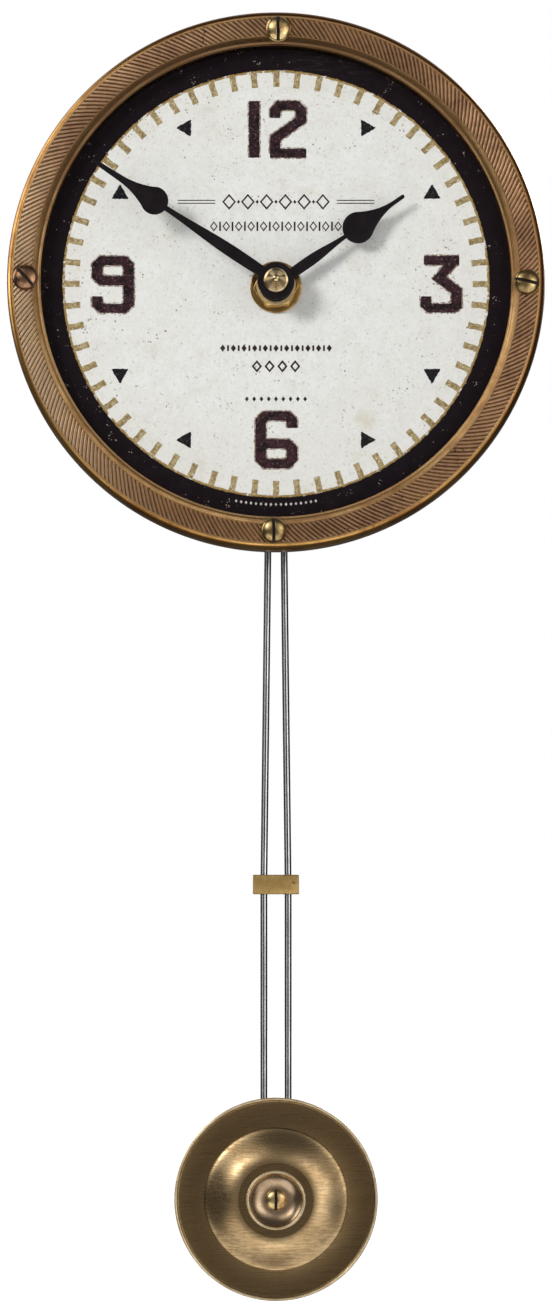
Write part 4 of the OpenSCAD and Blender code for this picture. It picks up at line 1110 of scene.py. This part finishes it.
screw_low = face_height("bezel_screws")[0]
for k, slot_turn in enumerate(SLOT_TURNS):
    a = math.radians(90 * k - 0.5)
    screw = slotted(f"bezel_screw_{k + 1}", HEAD_R, BEZEL_H, 0.45, 2.1, 0.9, 1.1, 1.48,
                    screw_low + 0.3, slot_turn,
                    (SCREW_R * math.cos(a), SCREW_R * math.sin(a)),
                    HEAD_FINISH[k])
    finish_piece(screw, "case", "screw_brass", *(["bezel_screws"] if k == 0 else []))

# %% [markdown]
# ## Hub
# A washer and a hex nut hold the movement to the dial, and a cone nut holds the hands. The hex
# nut is turned too: its radius is the hexagon's at each angle, but never more than a cone's,
# which gives the curved chamfer that a real nut has on its corners.

# %% Washer, hex nut and cone nut
HUB_HOLE_R = 4.05
WASHER_R = 7.25
low, high = face_height("dial_washer")
washer = turn(bmesh.new(), rounded([(HUB_HOLE_R, low), (WASHER_R, low), (WASHER_R, high),
                                    (HUB_HOLE_R, high)], 0.25), 96, (0, ARBOR))
finish_piece(to_object("hub_washer", washer, washer_brass), "case", "hub_brass", "dial_washer")

NUT_FLAT = 5.5
low, high = face_height("centre_nut")


def hexed(angle, r, z):
    turned = (angle - math.radians(4)) % (math.pi / 3) - math.pi / 6
    side = NUT_FLAT / math.cos(turned)
    cone = 6.55 - max(0.0, z - (high - 0.75)) * 1.35
    return min(side, cone) if r > 5 else r


levels = [low, low + (high - low) * 0.3]
levels += [low + (high - low) * (0.55 + 0.45 * k / 18) for k in range(19)]
outline = [(HUB_HOLE_R, low)] + [(6.3, z) for z in levels]
outline += [(4.4, high), (HUB_HOLE_R, high - 0.3)]
nut = turn(bmesh.new(), outline, 180, (0, ARBOR), hexed)
hub_nut = to_object("hub_nut", nut, nut_brass, 25)
nut_top = high
second_finish(hub_nut, bright_brass, lambda at: nut_top - 0.72 < at.z < nut_top - 0.02)
finish_piece(hub_nut, "case", "hub_brass", "centre_nut")

low, high = face_height("cap_nut")
CAP_R = 3.4
cone = [(0, low), (CAP_R - 0.1, low), (CAP_R, low + 0.1), (CAP_R, low + 0.75),
        (CAP_R - 0.12, low + 0.9), (CAP_R - 0.55, low + 1.02)]
cone += [(0.95 + (CAP_R - 1.5) * (1 - t), low + 1.02 + (high - low - 1.35) * t ** 0.94)
         for t in (k / 10 for k in range(1, 11))]
cone += arc((0, high - 0.42), (0.95, 0.42), 20, 80, 4) + [(0, high)]
cap = turn(bmesh.new(), cone, 96, (0, ARBOR))
finish_piece(to_object("hand_cap", cap, cap_brass), "minute", "hub_brass", "cap_nut")

# %% [markdown]
# ## Hands
# The hands are spade hands pressed from thin sheet and painted. Half the outline is enough:
# a shank that swells and narrows, a round leaf, a hollow flare and a needle. Across each
# station the sheet is a little lower at its edges than along its middle, which is how a
# pressed hand looks under a soft light.

# %% Spade outline and blade
def spade_side(length, swell_at, swell_w, neck_w, leaf_at, leaf_r, flare_at, needle_w, tip_w):
    """Half outline of a spade hand as (distance, half width)."""
    start_w = swell_w * 0.8
    first = math.asin(neck_w / leaf_r)
    neck_at = leaf_at - leaf_r * math.cos(first)
    last = math.radians(127)
    flare_w = leaf_r * math.sin(last)
    leave_at = leaf_at - leaf_r * math.cos(last)
    side = [(swell_at * t, start_w + (swell_w - start_w) * math.sin(math.pi / 2 * t))
            for t in (k / 10 for k in range(11))]
    side += [(swell_at + (neck_at - swell_at) * t,
              neck_w + (swell_w - neck_w) * (1 + math.cos(math.radians(170) * t)) / 2)
             for t in (k / 14 for k in range(1, 14))]
    side += [(leaf_at - leaf_r * math.cos(a), leaf_r * math.sin(a))
             for a in (first + (last - first) * k / 20 for k in range(21))]
    side += [(flare_at + (leave_at - flare_at) * u,
              needle_w + (flare_w - needle_w) * (0.1 * u + 0.9 * u * u))
             for u in (1 - k / 16 for k in range(1, 17))]
    side += [(length - tip_w + tip_w * math.sin(a), max(0.02, tip_w * math.cos(a)))
             for a in (math.radians(15 * k) for k in range(6))]
    return side


def blade(build, side, low, high, eye_r, bore_r):
    """A pressed blade along +x with a round eye. Its edges lie lower than its middle."""
    across = (-1.0, -0.86, -0.55, 0.0, 0.55, 0.86, 1.0)
    thick = high - low
    rows = []
    for s, w in side:
        drop = min(0.45 * thick, 0.16 * w)
        top = [build.verts.new((s, w * c, high - drop * abs(c) ** 4)) for c in across]
        bottom = [build.verts.new((s, w * c, low)) for c in across[::-1]]
        rows.append(top + bottom)
    count = len(rows[0])
    for a, b in zip(rows, rows[1:]):
        for k in range(count):
            j = (k + 1) % count
            build.faces.new([a[k], b[k], b[j], a[j]])
    build.faces.new(rows[0])
    build.faces.new(rows[-1][::-1])
    ring = [(bore_r, low + 0.02), (eye_r - 0.1, low + 0.02), (eye_r, low + 0.12)]
    ring += arc((eye_r - 0.35, high - 0.32), (0.35, 0.35), 0, 90, 5) + [(bore_r, high + 0.03)]
    turn(build, ring, 96)
    return build


def hand_turn(node):
    """Direction of a hand from the far end of its own CAD mesh."""
    points = [v.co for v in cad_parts[node].data.vertices]
    tip = max(points, key=lambda p: p.x ** 2 + (p.z - DIAL_Z - ARBOR * MM) ** 2)
    return math.atan2(tip.z - DIAL_Z - ARBOR * MM, tip.x)


EYE_R = {"minute_hand": 5.2, "hour_hand": 4.8}
HANDS = {
    "minute_hand": ("minute", dict(length=61.3, swell_at=14, swell_w=1.7, neck_w=0.72,
                    leaf_at=40.6, leaf_r=3.87, flare_at=52, needle_w=0.88, tip_w=0.55), 1.8),
    "hour_hand": ("hour", dict(length=43.7, swell_at=11.2, swell_w=1.52, neck_w=0.56,
                  leaf_at=28, leaf_r=4.4, flare_at=40, needle_w=0.56, tip_w=0.52), 2.6),
}
for node, (body, sizes, bore) in HANDS.items():
    low, high = face_height(node)
    build = blade(bmesh.new(), spade_side(**sizes), low, high, EYE_R[node], bore)
    where = ON_DIAL @ Matrix.Translation((0, ARBOR, 0)) @ Matrix.Rotation(hand_turn(node), 4, "Z")
    hand = to_object(node + "_blade", build, hand_paint, 50, where)
    finish_piece(hand, body, "hand_black", node)

# %% [markdown]
# ## Pendulum
# Two steel rods hang side by side. They lean apart down to a small brass bar and run parallel
# below it. The bob is a spun brass dish: a thin rolled rim, a flat rim, a step, a dome, and a
# small dimple for the screw that holds it. Each comes from its own outline on the lathe. The
# flat rim is in a darker copy of the brass, and a second finish gives that copy to the step and
# a ring round the dimple: painted shade. Another second finish gives a lighter copy to the
# rolled lip and the dimple's ridge: a painted highlight.

# %% Rods and guide bar
rods_low, rods_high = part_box("pendulum_rods")
guide_low, guide_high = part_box("guide_bar")
ROD_R = 1.0
ROD_GAP = 7.0
rod_z = (DIAL_Y - (rods_low[1] + rods_high[1]) / 2) / MM
rod_top = (rods_high[2] - DIAL_Z) / MM
rod_end = (rods_low[2] - DIAL_Z) / MM
bend = ((guide_low[2] + guide_high[2]) / 2 - DIAL_Z) / MM
TOP_GAP = 4.2
build = bmesh.new()
for side in (-1, 1):
    lean = [(side * (TOP_GAP + (ROD_GAP - TOP_GAP) * k / 8) / 2, rod_top + (bend - rod_top) * k / 8,
             rod_z) for k in range(9)]
    straight = [(side * ROD_GAP / 2, bend + (rod_end - bend) * k / 4, rod_z) for k in range(1, 5)]
    draw_wire(build, lean + straight, ROD_R)
rods = to_object("rods", build, drawn_steel, 50)
finish_piece(rods, "pendulum", "bright_steel", "pendulum_rods")


BLOCK_SOFT = 0.25


def block(build, low, high):
    """A box with softened edges, between two corners in dial millimetres."""
    soft = BLOCK_SOFT
    outline = rounded([(low[0], low[1]), (high[0], low[1]), (high[0], high[1]),
                       (low[0], high[1])], soft, 3)
    inner = rounded([(low[0] + soft, low[1] + soft), (high[0] - soft, low[1] + soft),
                     (high[0] - soft, high[1] - soft), (low[0] + soft, high[1] - soft)],
                    soft * 0.5, 3)
    levels = [(low[2], inner), (low[2] + soft * 0.3, None), (low[2] + soft, outline),
              (high[2] - soft, outline), (high[2] - soft * 0.3, None), (high[2], inner)]
    rings = []
    for z, ring in levels:
        if ring is None:
            ring = [((a[0] + b[0] * 2) / 3, (a[1] + b[1] * 2) / 3) for a, b in zip(inner, outline)]
        rings.append([build.verts.new((x, y, z)) for x, y in ring])
    skin(build, rings)
    return build


def dial_corners(node):
    """A node's corners in dial millimetres: x, y and height."""
    low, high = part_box(node)
    return ((low[0] / MM, (low[2] - DIAL_Z) / MM, (DIAL_Y - high[1]) / MM),
            (high[0] / MM, (high[2] - DIAL_Z) / MM, (DIAL_Y - low[1]) / MM))


guide = block(bmesh.new(), *dial_corners("guide_bar"))
finish_piece(to_object("guide_bar_block", guide, bar_brass, 50), "pendulum", "hub_brass",
             "guide_bar")

# %% Bob
BOB_SEGMENTS = 192
STEP_R = 20.7
DIMPLE_R = 8.6
z0 = BOB_PLANE
top_h = face_height("bob_front")[1]


def bob_piece(name, outline, material, *nodes):
    piece = to_object(name, turn(bmesh.new(), outline, BOB_SEGMENTS, (0, BOB_Y)), material)
    finish_piece(piece, "bob", "bob_brass", *nodes)
    return piece


def bob_distance(at):
    return math.hypot(at.x, at.y - BOB_Y)


rim = [(STEP_R - 1.0, z0), (BOB_R - 0.3, z0), (BOB_R, z0 + 0.25), (BOB_R, z0 + 0.5)]
rim += arc((BOB_R - 0.4, z0 + 0.42), (0.4, 0.38), 20, 160, 7)
rim += [(BOB_R - 1.0, z0 + 0.42), (BOB_R - 1.4, z0 + 0.36), (STEP_R + 0.3, z0 + 0.40),
        (STEP_R + 0.02, z0 + 0.46), (STEP_R - 1.0, z0 + 0.5)]
# The flat rim is in the darker copy of the brass, as painted shade.
bob_rim = bob_piece("bob_rim", rim, bob_shade_brass, "bob_front")
# The rolled lip takes the lighter copy, as a painted highlight all round.
second_finish(bob_rim, lip_highlight_brass, lambda at: bob_distance(at) > BOB_R - 0.75)

ridge_in = DIMPLE_R - 0.55
dome = [(ridge_in + 0.4, z0 + 0.3), (STEP_R - 0.05, z0 + 0.3), (STEP_R, z0 + 0.6)]
dome += [(STEP_R - 0.12, z0 + 0.86), (STEP_R - 0.4, z0 + 0.98)]
DOME_STEPS = 26
FLAT_FROM = 0.84
crown = top_h - 0.45
for k in range(1, DOME_STEPS + 1):
    t = k / DOME_STEPS
    r = STEP_R - 0.4 - (STEP_R - 0.4 - DIMPLE_R) * t
    climb = math.sin(math.pi / 2 * min(1.0, t / FLAT_FROM)) ** 1.15
    dome.append((r, z0 + 0.98 + (crown - z0 - 0.98) * climb))
dome += [(ridge_in + 0.4, crown)]
bob_dome = bob_piece("bob_dome", dome, bob_brass)
# Painted shade: the step's rounding and a ring round the dimple take the darker copy.
second_finish(bob_dome, bob_shade_brass,
              lambda at: not DIMPLE_R + 2.3 < bob_distance(at) < STEP_R - 0.45)

WELL_H = z0 + 3.0
DIMPLE_LIP_R = DIMPLE_R - 0.47
well = [(0.4, z0 + 2.0), (DIMPLE_R, z0 + 2.0), (DIMPLE_R, crown - 0.1)]
well += arc((DIMPLE_LIP_R, crown), (0.47, top_h - crown), 10, 150, 9)
SEAT_R = 3.35
for k in range(1, 13):
    t = k / 12
    well.append(((DIMPLE_LIP_R - 0.47) * (1 - t) + SEAT_R * t,
                 WELL_H + (crown + 0.1 - WELL_H) * (1 - t) ** 2.2))
well.append((0.4, WELL_H))
dimple = bob_piece("bob_dimple", well, dimple_brass)
# The dimple's ridge takes the lighter copy, as a painted highlight.
second_finish(dimple, lip_highlight_brass, lambda at: bob_distance(at) > DIMPLE_LIP_R - 0.5 and at.z > crown)

bob_screw = slotted("bob_centre_screw", 3.1, WELL_H, 0.4, 1.6, 0.85, 0.9, 1.45,
                    face_height("bob_screw")[0] + 0.2, 90, (0, BOB_Y), screw_brass)
finish_piece(bob_screw, "bob", "screw_brass", "bob_screw")

# %% [markdown]
# ## The parts that the mechanical model draws well enough
# Sheet metal, gears and moulded cases already have their true shape in the frame. They keep
# that shape and only need a finish. A dictionary from finish to parts is the plainest way to
# hand them out, and a list printed at the end names any that was forgotten.

# %% Finishes for the frame's own parts
FINISHES = {
    dial_card: ["dial_paper"],
    plate_paint: ["dial_plate"],
    drum_paint: ["case_drum"],
    zinc_steel: ["flange_nuts", "hanger_plate", "hanger_rivets", "cover_screws", "pivot_pin",
                 "bob_nut", "bob_weight"],
    spring_steel: ["quartz_crystal", "motor_stator", "contact_positive", "contact_negative",
                   "minute_arbor", "rotor", "drive_magnet"],
    bright_brass: ["threaded_bushing"],
    hook_brass: ["rod_hook", "bob_back"],
    hand_paint: ["minute_collet", "hour_collet"],
    copper_wire: ["motor_coil", "pendulum_coil"],
    case_plastic: ["movement_tray", "movement_cover"],
    gear_plastic: ["gear_bridge", "hour_wheel", "motion_wheel", "centre_wheel", "third_wheel",
                   "fourth_wheel", "intermediate_wheel", "pendulum_leader"],
    knob_plastic: ["setting_knob"],
    board_resin: ["circuit_board"],
    chip_epoxy: ["ic_chip"],
    seal_rubber: ["rubber_gasket"],
}
for finish, names in FINISHES.items():
    for name in names:
        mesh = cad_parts[name].data
        mesh.materials.clear()
        mesh.materials.append(finish)

# %% Battery cell
cell_low, cell_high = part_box("battery_cell")
CELL_R = (cell_high[0] - cell_low[0]) / 2 / MM
cell_x = (cell_high[0] + cell_low[0]) / 2
cell_y = (cell_high[1] + cell_low[1]) / 2
NUB_H = 1.3
BAND_FROM = 33
cell_len = (cell_high[2] - cell_low[2]) / MM - NUB_H
on_cell = Matrix.Translation((cell_x, cell_y, cell_low[2])) @ Matrix.Scale(MM, 4)
wrap_dark = coated("wrap_dark", srgb(36, 52, 78), srgb(30, 44, 68), (0.2, 0.3), speck=0.0)
wrap_gold = aged_metal("wrap_gold", srgb(206, 150, 84), srgb(190, 132, 70), (0.22, 0.3),
                       speck=0.0, lines=0.0)
for name, outline, finish in (
    ("cell_wrap", [(0, 0.3), (CELL_R - 1.2, 0.3), (CELL_R - 0.9, 0), (CELL_R - 0.25, 0),
                   (CELL_R, 0.3), (CELL_R, BAND_FROM), (0, BAND_FROM)], wrap_dark),
    ("cell_band", [(0, BAND_FROM), (CELL_R, BAND_FROM), (CELL_R, cell_len - 0.5), (CELL_R - 0.3, cell_len),
                   (CELL_R - 1.2, cell_len), (CELL_R - 1.4, cell_len - 0.25),
                   (0, cell_len - 0.25)], wrap_gold),
    ("cell_button", [(0, cell_len - 0.3), (5.2, cell_len - 0.3), (5.0, cell_len - 0.1),
                     (2.7, cell_len - 0.05), (2.7, cell_len + NUB_H - 0.3),
                     (2.4, cell_len + NUB_H), (0, cell_len + NUB_H)], spring_steel),
):
    piece = to_object(name, turn(bmesh.new(), outline, 64), finish, 35, on_cell)
    finish_piece(piece, "battery", "cell_wrap", *(["battery_cell"] if name == "cell_wrap" else []))

# %% [markdown]
# ## Floor
# The clock hangs in the air of a plain studio. A pale floor far below it gives the light
# something to bounce from and never comes near the object. Reflections look straight through
# it to the dim room, which keeps the underside of the brass deep and brown.

# %% Floor
FLOOR_Z = -0.95
floor_mesh = bpy.data.meshes.new("floor")
reach = 30
floor_mesh.from_pydata([(-reach, -reach, FLOOR_Z), (reach, -reach, FLOOR_Z),
                        (reach, reach, FLOOR_Z), (-reach, reach, FLOOR_Z)], [], [(0, 1, 2, 3)])
floor = bpy.data.objects.new("floor", floor_mesh)
bpy.context.collection.objects.link(floor)
floor_paint, sh, shader = new_material("floor_paint", Roughness=0.9, Specular_IOR_Level=0.0)
rays = sh.tree.nodes.new("ShaderNodeLightPath").outputs
shader.inputs["Emission Color"].default_value = WHITE
dust = sh.band(sh.noise(sh.place(), 3.0), 0.3, 0.7, 0.0, 0.15)
pale = sh.mix(dust, (0.88, 0.88, 0.88), (0.84, 0.84, 0.83))
wire_up(sh, shader, Base_Color=pale,
        Emission_Strength=sh.math("MULTIPLY", rays["Is Camera Ray"], 0.75))
switch = sh.add("ShaderNodeMixShader", i0=rays["Is Glossy Ray"], i1=shader.outputs[0],
                i2=sh.add("ShaderNodeBsdfTransparent"))
sh.tree.links.new(switch, sh.tree.nodes["Material Output"].inputs["Surface"])
floor_mesh.materials.append(floor_paint)

# %% Parts left with no finish
bare = [n for n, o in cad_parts.items() if not o.data.materials]
print("parts with no finish:", bare)
